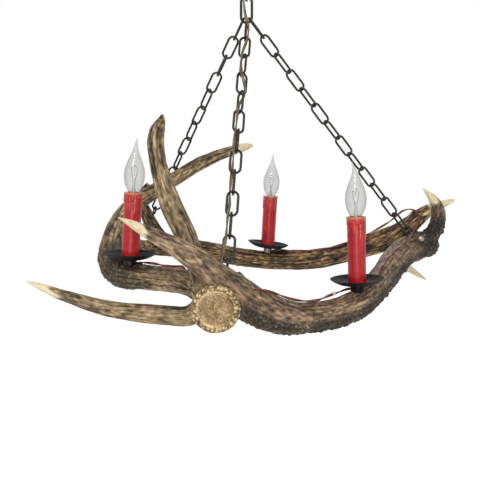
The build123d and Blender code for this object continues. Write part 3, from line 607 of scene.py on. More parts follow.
# %% Supply flex route, in metres
FLEX_ROUTE = [
    (0, 0, -0.0024), (0, 0, -0.0445), (-0.0057, -0.0054, -0.057), (-0.0056, -0.006, -0.0767),
    (-0.0046, -0.005, -0.09635), (-0.0035, -0.009, -0.11105), (-0.0015, -0.0135, -0.12505),
    (0.0035, -0.0178, -0.14005), (0.00241, -0.01868, -0.1571), (-0.00213, -0.02794, -0.17104),
    (-0.00776, -0.03523, -0.18592), (-0.00812, -0.04358, -0.20065), (-0.00839, -0.05147, -0.21563),
    (-0.00427, -0.05898, -0.23113), (-0.00184, -0.06513, -0.2518), (-0.00978, -0.06948, -0.26346),
    (-0.01341, -0.0811, -0.27165), (-0.01494, -0.09014, -0.29052), (-0.01662, -0.09728, -0.30578),
    (-0.01864, -0.10495, -0.32074), (-0.02032, -0.11383, -0.33891), (-0.02021, -0.11575, -0.35321),
    (-0.0223, -0.11773, -0.3673), (-0.02412, -0.12725, -0.38513), (-0.02501, -0.13644, -0.4032),
    (-0.02474, -0.14692, -0.41305), (-0.02682, -0.15733, -0.42275), (-0.02865, -0.1665, -0.44077),
    (-0.02931, -0.17448, -0.45566), (-0.032, -0.184, -0.47105), (-0.036, -0.191, -0.48805),
    (-0.037, -0.199, -0.50805),
]
print("supply flex:", len(FLEX_ROUTE), "points")

# %% Feeder routes, in metres
FEEDER_ROUTES = {
    "front": [
        (0, -0.205, -0.53305), (0.01, -0.222, -0.52105), (0.019, -0.213, -0.52505),
        (0.034, -0.195, -0.53205), (0.047, -0.185, -0.53905), (0.06, -0.178, -0.54505),
        (0.08, -0.175, -0.54905), (0.101, -0.16, -0.55105), (0.119, -0.136, -0.54905),
        (0.136, -0.121, -0.54705), (0.1508, -0.112, -0.54313), (0.15779, -0.112, -0.54286),
    ],
    "left": [
        (-0.085, -0.161, -0.51705), (-0.09, -0.156, -0.50005), (-0.103, -0.143, -0.50505),
        (-0.121, -0.126, -0.50605), (-0.134, -0.115, -0.50505), (-0.148, -0.104, -0.50505),
        (-0.16, -0.092, -0.50605), (-0.16465, -0.085, -0.50861), (-0.17164, -0.085, -0.50812),
    ],
    "back": [
        (0.17378, -0.112, -0.54225), (0.18078, -0.112, -0.54198), (0.189, -0.097, -0.53905),
        (0.213, -0.047, -0.52505), (0.235, -0.003, -0.51205), (0.253, 0.024, -0.50405),
        (0.271, 0.046, -0.49705), (0.292, 0.071, -0.48705), (0.303, 0.093, -0.48005),
        (0.31, 0.108, -0.47405), (0.317, 0.114, -0.46405), (0.321, 0.12, -0.45205),
        (0.318, 0.131, -0.44205), (0.308, 0.14, -0.43905), (0.296, 0.144, -0.44305),
        (0.286, 0.145, -0.45205), (0.276, 0.146, -0.46205), (0.256, 0.152, -0.47605),
        (0.236, 0.16, -0.48905), (0.213, 0.164, -0.50005), (0.192, 0.168, -0.50805),
        (0.168, 0.172, -0.51605), (0.146, 0.178, -0.52105), (0.115, 0.186, -0.52505),
        (0.088, 0.192, -0.52505), (0.068, 0.198, -0.52405), (0.05727, 0.199, -0.52624),
        (0.05028, 0.199, -0.52587),
    ],
}
print("feeders:", list(FEEDER_ROUTES))


# %% Lines read from their splines
def spline_line(route, resolution):
    """Points along the NURBS spline of a route, in millimetres."""
    curve = bpy.data.curves.new("route", "CURVE")
    curve.dimensions = "3D"
    spline = curve.splines.new("NURBS")
    spline.points.add(len(route) - 1)
    for point, place in zip(spline.points, route):
        point.co = (*place, 1.0)
    spline.order_u = 3
    spline.use_endpoint_u = True
    spline.resolution_u = resolution
    return mesh_points(evaluated_mesh(set_in_scene("route", curve))) * 1000


flex_line = spline_line(FLEX_ROUTE, 6)
feeder_lines = {side: spline_line(route, 5) for side, route in FEEDER_ROUTES.items()}
print("cord points:", len(flex_line), [len(line) for line in feeder_lines.values()])

# %% [markdown]
# ## The line of an antler
# Each beam and tine is a line through a few stations, in millimetres from the apex of the chains,
# each with its own radius. The left antler has its shed face at the front, a brow tine that
# reaches left, an upright and a tip that curls round at the back.

# %% Left antler's stations
LEFT_BEAM = [
    (-44, -232, -414, 21), (-48, -215, -412, 21), (-59, -190, -400, 20.5), (-89, -160, -393, 17.8),
    (-120, -132, -395, 17.3), (-161, -100, -397, 17.9), (-197, -70, -396, 20.3),
    (-218, -38, -382, 20), (-225, 5, -360, 18.5), (-222, 45, -334, 18.2), (-209, 82, -307, 16.1),
    (-181, 112, -283, 13.9), (-133, 131, -253, 12.5), (-80, 146, -221, 11.7), (-24, 153, -199, 8.6),
    (5, 154, -191, 5.6), (13, 154, -189, 2.8),
]
LEFT_BROW = [
    (-56, -204, -415, 15), (-79, -200, -432, 14.2), (-109, -196, -433, 13.4),
    (-141, -192, -431, 12.6), (-173, -190, -428, 11.5), (-210, -192, -420, 9.8),
    (-243, -196, -408, 8), (-271, -202, -396, 5.6), (-289, -207, -387, 3), (-299, -211, -382, 0.8),
]
LEFT_UPRIGHT = [
    (-58, -196, -400, 16), (-65, -192, -373, 14.6), (-78, -186, -344, 15), (-89, -181, -317, 15.1),
    (-104, -174, -286, 14.8), (-117, -166, -251, 13.4), (-125, -159, -221, 11.6),
    (-128, -154, -196, 11.6), (-126, -151, -180, 10.8), (-121, -149, -166, 6.5),
    (-118.5, -148, -157, 1.5),
]
LEFT_KNOB = [
    (-200, -62, -397, 14), (-206, -62, -401, 11.5), (-210, -63, -404, 8),
]
print("left beam:", len(LEFT_BEAM), "stations")

# %% [markdown]
# The front antler is the big one. Its burr is at the right, and its beam runs low across the front
# and ends in a bare tip at the left. A short stub rises near the eye of the front chain.

# %% Front antler's stations
FRONT_BEAM = [
    (343, 127, -376, 18), (332, 118, -372, 21.5), (312, 104, -375, 24), (287, 82, -381, 25),
    (258, 42, -395, 23.5), (229, -12, -410, 22), (200, -62, -424, 21.5), (167, -108, -437, 21),
    (125, -142, -444, 20.5), (88, -166, -444, 20.5), (51, -184, -439, 22.5), (17, -196, -424, 25),
    (-10, -203, -406, 26), (-39, -211, -380, 21), (-63, -217, -357, 16.5), (-90, -218, -339, 13.2),
    (-117, -212, -325, 10.3), (-139, -203, -315, 8), (-160, -192, -306, 4.6),
    (-179, -180, -299, 0.8),
]
FRONT_BROW = [
    (329, 115, -368, 15), (350, 124, -350, 14), (360, 130, -327, 13), (359, 134, -306, 11.3),
    (351, 137, -290, 8), (341, 139, -278, 4.2), (331, 140, -269, 0.8),
]
FRONT_STUB = [
    (-8, -196, -400, 12), (-9, -191, -387, 8.5), (-14, -183, -377, 5),
]
print("front beam:", len(FRONT_BEAM), "stations")

# %% [markdown]
# The back antler closes the ring behind. It forks at the right into two long bare points.

# %% Back antler's stations
BACK_BEAM = [
    (-205, 50, -361, 12), (-205, 74, -369, 13), (-198, 110, -376, 13.5), (-187, 145, -382, 14),
    (-160, 172, -386, 15.5), (-128, 184, -388, 17.5), (-80, 193, -394, 17.8),
    (-10, 199, -408, 17.5), (45, 200, -414, 17.3), (126, 193, -413, 18.5), (198, 176, -396, 18),
    (239, 160, -381, 18.5), (271, 146, -366, 20), (299, 131, -345, 17.5), (327, 142, -324, 14.5),
    (354, 158, -310, 11), (383, 166, -299, 6.5), (402, 171, -293, 2.4),
]
BACK_BROW = [
    (-152, 180, -383, 14), (-178, 191, -353, 13.5), (-195, 200, -322, 11.5), (-203, 206, -300, 10),
    (-201, 210, -279, 8.5), (-193, 212, -263, 4.5),
]
BACK_FORK = [
    (266, 148, -371, 15), (294, 155, -403, 10.5), (318, 164, -426, 6.6), (339, 168, -440, 4),
    (356, 172, -450, 0.8),
]
print("back beam:", len(BACK_BEAM), "stations")

# %% [markdown]
# A smooth curve through the stations gives a ring every few millimetres. The same curve gives two
# directions square to the limb that are carried along it without twist, so that the grain of the
# horn runs straight from root to tip.

# %% Smooth line and its rings
RING_SPACING = 3.0
LEAST_RADIUS = 0.6
TUBE_CAP = 0.3


def smooth_line(stations):
    """Points and radii every few millimetres along a limb, and how far along each one is."""
    knots = np.array(stations, dtype=float)
    knots[:, :3] += APEX_MM
    steps = np.linalg.norm(np.diff(knots[:, :3], axis=0), axis=1)
    at = np.concatenate([[0.0], np.cumsum(steps)])
    slopes = np.gradient(knots, at, axis=0)
    along = np.linspace(0, at[-1], max(int(at[-1] / RING_SPACING), 4) + 1)
    i = np.clip(np.searchsorted(at, along, side="right") - 1, 0, len(at) - 2)
    gap = (at[i + 1] - at[i])[:, None]
    t = (along - at[i])[:, None] / gap
    line = (2 * t**3 - 3 * t**2 + 1) * knots[i] + (t**3 - 2 * t**2 + t) * gap * slopes[i]
    line += (3 * t**2 - 2 * t**3) * knots[i + 1] + (t**3 - t**2) * gap * slopes[i + 1]
    return line[:, :3], np.maximum(line[:, 3], LEAST_RADIUS), along


def carried_frames(line):
    """The tangent at each point and two directions square to it, carried without twist."""
    tangents = np.gradient(line, axis=0)
    tangents /= np.linalg.norm(tangents, axis=1)[:, None]
    side = np.array([0.0, 0.0, 1.0])
    sides = []
    for tangent in tangents:
        side = side - tangent * side.dot(tangent)
        side = side / np.linalg.norm(side)
        sides.append(side)
    sides = np.array(sides)
    return tangents, sides, np.cross(tangents, sides)


def tube_round(line, radii, columns):
    """Points and faces of a closed tube round a line, with a point at each end."""
    tangents, sides, others = carried_frames(line)
    turns = np.linspace(0, 2 * np.pi, columns, endpoint=False)[None, :, None]
    across = np.cos(turns) * sides[:, None, :] + np.sin(turns) * others[:, None, :]
    rings = line[:, None, :] + across * radii[:, None, None]
    first = line[0] - tangents[0] * radii[0] * TUBE_CAP
    last = line[-1] + tangents[-1] * radii[-1] * TUBE_CAP
    faces = grid_faces(len(line), columns)
    end = len(line) * columns
    for i in range(columns):
        after = (i + 1) % columns
        faces.append((after, i, end))
        faces.append((end - columns + i, end - columns + after, end + 1))
    return np.vstack([rings.reshape(-1, 3), first, last]), faces


# %% [markdown]
# The limbs of one antler are joined by a voxel remesh, which melts the forks together as grown
# bone does. Each point of the new mesh then finds the limb it belongs to and its place across and
# along that limb. This is the grain that furrows and streaks follow.

# %% Melt the limbs together
TUBE_SIDES = 40
VOXEL_MM = 1.5
SOFTENING_PASSES = 4
# Points are measured in batches, to keep the memory small.
BATCH = 20000


def limb(stations, bare=0.0, furrow=1.0):
    """One limb with the millimetres of bare tip and the strength of its furrows."""
    return {"stations": stations, "bare": bare, "furrow": furrow}


def melted(name, limbs):
    """One mesh in millimetres from several limbs, melted together where they meet."""
    tubes = []
    for part in limbs:
        line, radii = smooth_line(part["stations"])[:2]
        tubes.append(tube_round(line, radii, TUBE_SIDES))
    points, faces = gathered(tubes)
    rough = bpy.data.meshes.new(name + "_rough")
    rough.from_pydata([tuple(point) for point in points], [], faces)
    helper = set_in_scene(name + "_rough", rough)
    remesh = helper.modifiers.new("melt", "REMESH")
    remesh.mode = "VOXEL"
    remesh.voxel_size = VOXEL_MM
    smooth = helper.modifiers.new("soften", "SMOOTH")
    smooth.iterations = SOFTENING_PASSES
    return evaluated_mesh(helper)


def read_grain(points, limbs):
    """Each point's place across and along its limb, the limb, the way to its tip, and how
    clearly the point belongs there."""
    count = len(points)
    nearest, second = np.full(count, np.inf), np.full(count, np.inf)
    grain, owner, to_tip = np.zeros((count, 3)), np.zeros(count, dtype=int), np.zeros(count)
    for number, part in enumerate(limbs):
        line, radii, along = smooth_line(part["stations"])
        tangents, sides, others = carried_frames(line)
        for low in range(0, count, BATCH):
            batch = slice(low, low + BATCH)
            gaps = np.linalg.norm(points[batch, None, :] - line[None, :, :], axis=2)
            pick = gaps.argmin(axis=1)
            share = gaps.min(axis=1) / radii[pick]
            offset = points[batch] - line[pick]
            here = [(offset * way[pick]).sum(axis=1) for way in (sides, others, tangents)]
            here = np.stack(here, axis=1)
            here[:, 2] += along[pick]
            better = share < nearest[batch]
            second[batch] = np.where(better, nearest[batch], np.minimum(second[batch], share))
            nearest[batch] = np.where(better, share, nearest[batch])
            grain[batch] = np.where(better[:, None], here, grain[batch])
            owner[batch] = np.where(better, number, owner[batch])
            to_tip[batch] = np.where(better, along[-1] - here[:, 2], to_tip[batch])
    return grain, owner, to_tip, np.clip((second - nearest) / 0.25, 0, 1)


# %% [markdown]
# ## Relief
# The relief is real geometry. Long furrows come from noise that is stretched twenty times along
# the limb, short ridges from noise stretched less, and low lumps from slow noise. Near the burr of
# the front antler, on the underside of its beam and at the left antler's corner, the surface
# breaks into beads, which hunters call pearling. Towards the bare tips it all fades out.

# %% Furrows, ridges and beads
# Width across the limb and length along it, in millimetres.
FURROW_MM = (8.0, 8.0, 160.0)
GROOVE_MM = (3.6, 3.6, 90.0)
RIDGE_MM = (3.4, 3.4, 8.5)
RAGGED_MM = (6.0, 6.0, 24.0)
# The same in every direction.
LUMP_MM = 26.0
KNOB_MM = 11.0
PEARL_MM = 3.72
# The noise of each limb is read this far along from the one before.
LIMB_SHIFT = 1000
TIP_FADE_MM = 9.0


def relief_of(points, normals, limbs, pearls, seed):
    """How far each point is lifted, and its relief, bareness and grain for the finish."""
    grain, owner, to_tip, belongs = read_grain(points, limbs)
    bare_mm = np.array([part["bare"] for part in limbs])[owner]
    furrows = np.array([part["furrow"] for part in limbs])[owner]
    grain[:, 2] += LIMB_SHIFT * owner
    fibre = grain + (0, 0, seed)
    furrow = np.abs(wander_at(fibre / FURROW_MM))
    groove = np.abs(wander_at(fibre / GROOVE_MM + (0, 0, 7.7)))
    ridge = wander_at(fibre / RIDGE_MM + (0, 0, 3.1))
    ragged = 1 + 0.4 * wander_at(fibre / RAGGED_MM) - 0.35 * np.maximum(normals[:, 2], 0)
    lump, knob, bead = (wander_at(points / size) for size in (LUMP_MM, KNOB_MM, PEARL_MM))
    bare = np.where(bare_mm > 0, (bare_mm * ragged - to_tip) / TIP_FADE_MM + 0.5, 0)
    quiet = 1 - np.clip(bare, 0, 1)
    cut = 0.75 * np.maximum(0, 1 - furrow / 0.16) + 0.35 * np.maximum(0, 1 - groove / 0.20)
    strength = furrows * belongs * (0.1 + 0.9 * quiet) * (1 - 0.8 * pearls)
    beads = pearls * quiet * np.maximum(0, 1.8 * bead)
    lift = 0.45 + (0.3 + 0.6 * quiet) * lump + (0.55 * ridge - 1.7 * cut) * strength
    lift += 2.1 * beads + 2.6 * knob * pearls * quiet
    depth = cut * (0.3 + 0.7 * belongs) * (0.3 + 0.7 * furrows)
    relief = 0.75 - 0.75 * np.minimum(depth, 1) + 0.5 * ridge * quiet * (1 - pearls)
    relief += 0.5 * beads + 0.2 * lump
    # Thin limbs carry less relief than thick ones.
    girth = np.clip(np.hypot(grain[:, 0], grain[:, 1]) / 9, 0.12, 1)
    return lift * girth, relief, smooth_step(bare), grain


# %% [markdown]
# Three things shape the horn after that. It swells softly under each brown flex, so that the flex
# lies on it. Flat pockets are milled for the heads of the lag screws. And the last of the relief is
# eased near the box of the imported model, so that nothing passes it.

# %% Swellings, pockets and limits
# Place of each screw from the apex, and the way it is driven, away from its head.
LAG_SCREWS = [
    ((-71, -177, -412), (0.57, -0.60, 0.57)),
    ((-198.5, 58, -371), (-0.54, -0.42, 0.72)),
    ((316, 88, -360), (0.0, 0.93, 0.36)),
]
POCKET_RADIUS = 8.0
POCKET_REACH = 14.0
# How far a swelling spreads to the sides and how deep the flex sits in it.
CORD_SPREAD = 13.0
CORD_SEAT = 1.2
# A flex that runs higher than this over the horn leaves it as it is.
CORD_REACH = 8.0
CORD_FADE = 5.0
# The relief is eased over this much before the box, and ends this far inside it.
EDGE_EASE = 1.5
EDGE_GAP = 0.1


def raise_to_cords(points, normals):
    """The horn lifted softly under each brown flex."""
    rise = np.zeros(len(points))
    for line in feeder_lines.values():
        low, high = line.min(axis=0) - CORD_SPREAD, line.max(axis=0) + CORD_SPREAD
        near = np.flatnonzero(((points > low) & (points < high)).all(axis=1))
        for batch in np.array_split(near, len(near) // BATCH + 1):
            offset = line[None, :, :] - points[batch, None, :]
            gaps = np.linalg.norm(offset, axis=2)
            offset = offset[np.arange(len(batch)), gaps.argmin(axis=1)]
            above = (offset * normals[batch]).sum(axis=1)
            aside = np.sqrt(np.maximum(gaps.min(axis=1) ** 2 - above**2, 0))
            wanted = (above - CORD_SEAT) * smooth_step(1.15 - aside / CORD_SPREAD)
            wanted *= smooth_step((CORD_REACH - above) / CORD_FADE)
            rise[batch] = np.maximum(rise[batch], wanted)
    return points + normals * rise[:, None]


def press_pockets(points):
    """The flat pockets for the heads of the lag screws."""
    for place, way in LAG_SCREWS:
        way = np.array(way) / np.linalg.norm(way)
        offset = points - (np.array(place) + APEX_MM)
        depth = offset @ way
        aside = np.linalg.norm(offset - depth[:, None] * way, axis=1)
        over = (aside < POCKET_RADIUS) & (depth < 0) & (depth > -POCKET_REACH)
        points[over] -= depth[over][:, None] * way
    return points


def held_in_box(points):
    """The last of the relief eased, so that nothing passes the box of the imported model."""
    for sign, corner in ((1, cad_low), (-1, cad_high)):
        limit = 1000 * np.array(corner) + sign * EDGE_GAP
        room = sign * (points - limit)
        eased = limit + sign * EDGE_EASE * np.exp(room / EDGE_EASE - 1)
        points = np.where(room < EDGE_EASE, eased, points)
    return points


# %% Antler maker
def antler(side, limbs, finish, pearl_from, seed):
    """One antler: melted, furrowed, beaded and bare at its tips."""
    name = f"antler_{side}_horn"
    mesh = melted(name, limbs)
    points = mesh_points(mesh)
    normals = np.zeros(len(points) * 3)
    mesh.vertex_normals.foreach_get("vector", normals)
    normals = normals.reshape(-1, 3)
    pearls = np.clip(pearl_from(points), 0, 1)
    lift, relief, bare, grain = relief_of(points, normals, limbs, pearls, seed)
    points = raise_to_cords(points + normals * lift[:, None], normals)
    points = held_in_box(press_pockets(points))
    mesh.vertices.foreach_set("co", (points / 1000).ravel())
    mesh.shade_smooth()
    fields = {"relief": relief, "bare": bare, "pearl": pearls, "grain": grain}
    set_piece(name, mesh, finish, "pendant", (f"antler_{side}",), fields)


# %% [markdown]
# The left antler is beaded only at its corner. The front antler is beaded under its beam and up to
# its burr. The back antler is furrowed and has no beads.

# %% Where the beads are
def left_pearls(points):
    """Beads near the corner of the left antler."""
    corner = np.array([-208, -58, -402]) + APEX_MM
    return smooth_step(1.3 - np.linalg.norm(points - corner, axis=1) / 75) * 0.9


def front_pearls(points):
    """Beads under the big beam and towards its burr."""
    x, y, z = (points - APEX_MM).T
    beam = np.array(FRONT_BEAM)[::-1]
    middle = np.interp(x, beam[:, 0], beam[:, 2])
    on_belly = smooth_step((x + 40) / 60) * smooth_step((330 - x) / 60)
    low = smooth_step((middle + 6 - z) / 14)
    near_burr = smooth_step((x - 290) / 45) * smooth_step((-310 - z) / 30)
    return np.maximum(on_belly * low * 0.85, near_burr)


def back_pearls(points):
    """No beads: the back antler is furrowed."""
    return np.zeros(len(points))


# %% The three antlers
left_limbs = [
    limb(LEFT_BEAM, 42, 0.8),
    limb(LEFT_BROW, 46, 0.4),
    limb(LEFT_UPRIGHT, 0, 0.8),
    limb(LEFT_KNOB, 0, 0.5),
]
front_limbs = [limb(FRONT_BEAM, 68, 0.4), limb(FRONT_BROW, 44, 0.6), limb(FRONT_STUB, 0, 0.5)]
back_limbs = [limb(BACK_BEAM, 90, 1.0), limb(BACK_BROW, 0, 0.9), limb(BACK_FORK, 66)]
antler("left", left_limbs, tan_antler, left_pearls, 0)
antler("front", front_limbs, grey_antler, front_pearls, 300)
antler("back", back_limbs, dark_antler, back_pearls, 700)

# %% [markdown]
# ## Burrs
# A burr is drawn as a disc whose height changes from the middle outwards: a nearly flat porous
# face, a fine lip, then the crown of beads that rolls over to the back. Cell noise round the rim
# parts the crown into beads of uneven size, and the face sits a little off centre.

# %% Burr discs
BEAD_MM = 5.8
BURR_SIDES = 300
FACE_SHARE = 0.74
# Share of the radius and drop behind the face, from the rim to the back.
BURR_BACK = [(1.0, -3.0), (1.01, -5.5), (0.97, -8.0), (0.90, -10.0), (0.80, -12.0)]


def face_spot(row, face, radius, turn, bead, seam, seed):
    """Reach, height and tone of one spot on the shed face or on the crown around it."""
    x, y = math.cos(turn), math.sin(turn)
    crown = max(0.0, (row - face) / (radius - face))
    inside = row / face
    reach = row * (1 + 0.035 * bead * crown)
    grit = wander(reach * x / 2.2, reach * y / 2.2, seed)
    hollow = wander(x * 1.3, y * 1.3, row / 9 + seed)
    lip = math.exp(-(((row - face) / 1.3) ** 2))
    height = 1.1 * lip + 0.45 * grit
    tone = 0.40 + 0.35 * grit + (0.35 + 1.1 * hollow) * lip
    if crown > 0:
        height += 2.2 * math.sin(math.pi * min(crown * 0.9 + 0.1, 1)) + 1.6 * bead
        tone += (0.6 * bead + 0.45 * seam - 0.18) * min(crown * 5, 1)
    elif inside < 1:
        height -= 0.8 * (1 - inside**2)
        tone += 0.25 * hollow + 0.12 * inside
    return reach, height, tone


def burr_disc(name, middle, outward, radius, off_centre, finish, seed):
    """The beaded crown and the shed face of one antler."""
    face = radius * FACE_SHARE
    front = [*np.linspace(0, face, 26), *np.linspace(face + 0.8, radius, 12)]
    rows = [(1.0, row) for row in front] + BURR_BACK
    points, relief = [], []
    for share, row in reversed(rows):
        for i in range(BURR_SIDES):
            turn = 2 * math.pi * i / BURR_SIDES
            x, y = math.cos(turn) * radius / BEAD_MM, math.sin(turn) * radius / BEAD_MM
            out = row if row >= 0 else radius - row
            ring = Vector((x, y, seed + out / BEAD_MM))
            nearest, following = noise.voronoi(ring)[0][:2]
            bead = 1.5 * (0.5 - nearest) + 0.35 * noise.noise(ring * 2.1)
            seam = min((following - nearest) / 0.3, 1)
            if row < 0:
                reach, height = radius * share * (1 + 0.035 * bead), row + 1.5
                tone = 0.1 + 0.5 * seam + 0.4 * bead
            else:
                reach, height, tone = face_spot(row, face, radius, turn, bead, seam, seed)
            shift = max(0.0, 1 - reach / radius)
            x = reach * math.cos(turn) + off_centre[0] * shift
            y = reach * math.sin(turn) + off_centre[1] * shift
            points.append((x, y, height))
            relief.append(tone)
    points = held_in_box(placed(points, standing(middle, outward)))
    faces = grid_faces(len(rows), BURR_SIDES)
    make_piece(name, points, faces, finish, "pendant", (), "antler", 60, {"relief": relief})


place, outward = (-42, -240.8, -415), (0.05, -1.0, -0.05)
burr_disc("burr_left_crown", place, outward, 32.0, (-2.5, 1.5), pale_burr, 3.1)
place, outward = (345, 129, -378), (0.75, 0.55, -0.35)
burr_disc("burr_front_crown", place, outward, 21.0, (1.0, 1.0), brown_burr, 8.4)

# %% [markdown]
# ## Chain
# Each link of the frame is a faceted stand-in. Its island of points gives the link's middle, length
# and tilt: the three directions in which the points spread most, less and least. A round wire is
# then bent along the same line.

# %% Islands of points
def islands(node):
    """The separate point sets of one solid of the frame, in millimetres."""
    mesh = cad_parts[node].data
    places = mesh_points(mesh) * 1000
    owner = list(range(len(places)))

    def find(i):
        while owner[i] != i:
            owner[i] = owner[owner[i]]
            i = owner[i]
        return i

    first_at = {}
    for i, place in enumerate(np.round(places, 2)):
        owner[find(i)] = find(first_at.setdefault(tuple(place), i))
    for edge in mesh.edges:
        owner[find(edge.vertices[0])] = find(edge.vertices[1])
    groups = {}
    for i in range(len(places)):
        groups.setdefault(find(i), []).append(i)
    return [places[members] for members in groups.values()]


# %% Rings of round wire
LINK_STEPS = 12
LINK_SIDES = 12
CHAIN_WIRE = 3.7
BIG_LINK_WIRE = 4.3


def link_line(length, width, wire):
    """The middle line of a link's wire in the XY plane, its length along Y."""
    bend = (width - wire) / 2
    straight = (length - wire) / 2 - bend
    line = []
    for end, middle in ((0, straight), (1, -straight)):
        for i in range(LINK_STEPS + 1):
            turn = math.pi * (end + i / LINK_STEPS)
            line.append((bend * math.cos(turn), middle + bend * math.sin(turn), 0))
    return line


def wire_ring(line, axis, radius, sides):
    """Points and faces of round wire along a closed flat line, its plane square to axis."""
    line, axis = np.array(line), np.array(axis)
    along = np.roll(line, -1, axis=0) - np.roll(line, 1, axis=0)
    along /= np.linalg.norm(along, axis=1)[:, None]
    outs = np.cross(along, axis)[:, None, :]
    turns = np.linspace(0, 2 * np.pi, sides, endpoint=False)[None, :, None]
    points = line[:, None, :] + radius * (outs * np.cos(turns) - axis * np.sin(turns))
    return points.reshape(-1, 3), grid_faces(len(line), sides, closed=True)


# %% Chains
def chain_piece(node, wire, body):
    """Every link of one chain as round wire, in one object."""
    links = []
    for group in islands(node):
        middle = group.mean(axis=0)
        ways = np.linalg.eigh(np.cov((group - middle).T))[1]
        wide, long = ways[:, 1], ways[:, 2]
        length, width = np.ptp((group - middle) @ long), np.ptp((group - middle) @ wide)
        line = link_line(length, width, wire)
        points, faces = wire_ring(line, (0, 0, 1), wire / 2, LINK_SIDES)
        turn = np.stack([wide, long, np.cross(wide, long)])
        links.append((points @ turn + middle, faces))
    make_piece(node + "_wire", *gathered(links), bronze_chain, body, (node,), "bronze_chain")
    print(node, "links:", len(links))


for side in ("right", "front", "left"):
    chain_piece(f"chain_{side}", CHAIN_WIRE, "pendant")
chain_piece("master_link", BIG_LINK_WIRE, "pendant")
chain_piece("top_link", BIG_LINK_WIRE, "top_link_body")

# %% [markdown]
# ## Candles
# A candle light is a stack on a threaded pipe: hub, drip pan, sleeve, socket and bulb. All three
# stacks share the same shapes and differ in their place, their lean and their drips.

# %% Candle places and shared heights
CANDLES = {
    "front": {"seat": (166, -112, -417), "lean": -2.2, "hub": 20.0},
    "left": {"seat": (-180, -85, -382), "lean": 4.0, "hub": 20.0},
    "back": {"seat": (44, 199, -400), "lean": 3.0, "hub": 16.0},
}
HUB_HEIGHT = 11.0
PAN_WALL = 1.1
PIPE_HOLE = 5.6
SLEEVE_FOOT = HUB_HEIGHT + PAN_WALL
SLEEVE_HEIGHT = 101.6
SLEEVE_RADIUS = 14.0
SOCKET_TOP = SLEEVE_FOOT + SLEEVE_HEIGHT - 4.0
BULB_GAP = 0.3


def on_candle(side, height, tilt=0.0):
    """The matrix of a piece that stands at a height on one candle's leaning axis."""
    candle = CANDLES[side]
    seat = Matrix.Translation(Vector(candle["seat"]) + Vector(APEX_MM))
    lean = Matrix.Rotation(math.radians(candle["lean"]), 4, "Y")
    lift = Matrix.Translation((0, 0, height))
    return seat @ lean @ lift @ Matrix.Rotation(math.radians(tilt), 4, "Y")


print("sockets end", round(SOCKET_TOP, 1), "mm over their seats")

# %% [markdown]
# The sleeve is a tube whose outside is raised where wax has run. Each run is a rounded ridge with
# a heavier bead at its foot, and a ragged hem of wax hangs from the top. The edges of the wax, and
# the lip at the top, carry the rubbed gold.

# %% Wax drips
SLEEVE_SIDES = 160
SLEEVE_ROWS = 120
SLEEVE_BORE = [(12.4, SLEEVE_HEIGHT - 0.3), (11.3, SLEEVE_HEIGHT - 1.2), (11.2, 0.0)]
BORE_RUB = (0.5, 0.0, 0.0)
RUN_HEIGHT = 0.95
FOOT_HEIGHT = 1.3
HEM_HEIGHT = 0.75


def drip_height(turn, from_top, drips):
    """How far the wax of the drips stands out at one spot of a sleeve."""
    bump = 0.0
    for degrees, run, width in drips:
        apart = turn - math.radians(degrees - 90)
        away = math.atan2(math.sin(apart), math.cos(apart)) * SLEEVE_RADIUS
        if from_top < run:
            ridge = max(0.0, 1 - (away / (width * 0.5)) ** 2)
            bump = max(bump, RUN_HEIGHT * ridge**0.5)
        if from_top < run + 0.6 * width:
            below = (from_top - run) / (width * 0.9)
            foot = max(0.0, 1 - (away / (width * 0.62)) ** 2 - below**2)
            bump = max(bump, FOOT_HEIGHT * foot**0.5)
    return bump


# %% Sleeves
def sleeve(side, drips, seed):
    """A resin candle cover with its drips, standing on its pan."""
    points, rub = [], []
    for row in range(SLEEVE_ROWS + 1):
        share = row / SLEEVE_ROWS
        height = SLEEVE_HEIGHT * share
        from_top = SLEEVE_HEIGHT - height
        lip = 1.1 * math.exp(-((from_top / 3.0) ** 2))
        for i in range(SLEEVE_SIDES):
            turn = 2 * math.pi * i / SLEEVE_SIDES
            x, y = math.cos(turn), math.sin(turn)
            hem = 6.5 + 3 * wander(x * 1.9, y * 1.9, seed + 5)
            hem = HEM_HEIGHT * max(0.0, min(1.0, (hem - from_top) / 1.4)) ** 0.5
            bump = max(drip_height(turn, from_top, drips), hem)
            rough = 0.12 * wander(x * 3, y * 3, height / 9 + seed)
            wave = 0.9 * wander(x * 1.6, y * 1.6, seed) * share**8
            reach = SLEEVE_RADIUS - 0.55 + max(bump, lip) + rough
            points.append((reach * x, reach * y, height + wave))
            edge = math.exp(-(((bump - 0.45) / 0.22) ** 2)) if bump > 0.05 else 0.0
            rub.append(0.9 * max(edge, lip))
    points = np.vstack([points, turned(SLEEVE_BORE, SLEEVE_SIDES)[0]])
    rub += np.repeat(BORE_RUB, SLEEVE_SIDES).tolist()
    faces = grid_faces(SLEEVE_ROWS + 1 + len(SLEEVE_BORE), SLEEVE_SIDES, closed=True)
    points = placed(points, on_candle(side, SLEEVE_FOOT))
    node = (f"candle_sleeve_{side}",)
    name = f"candle_{side}_cover"
    make_piece(name, points, faces, red_resin, "pendant", node, "red_resin", 70, {"rub": rub})


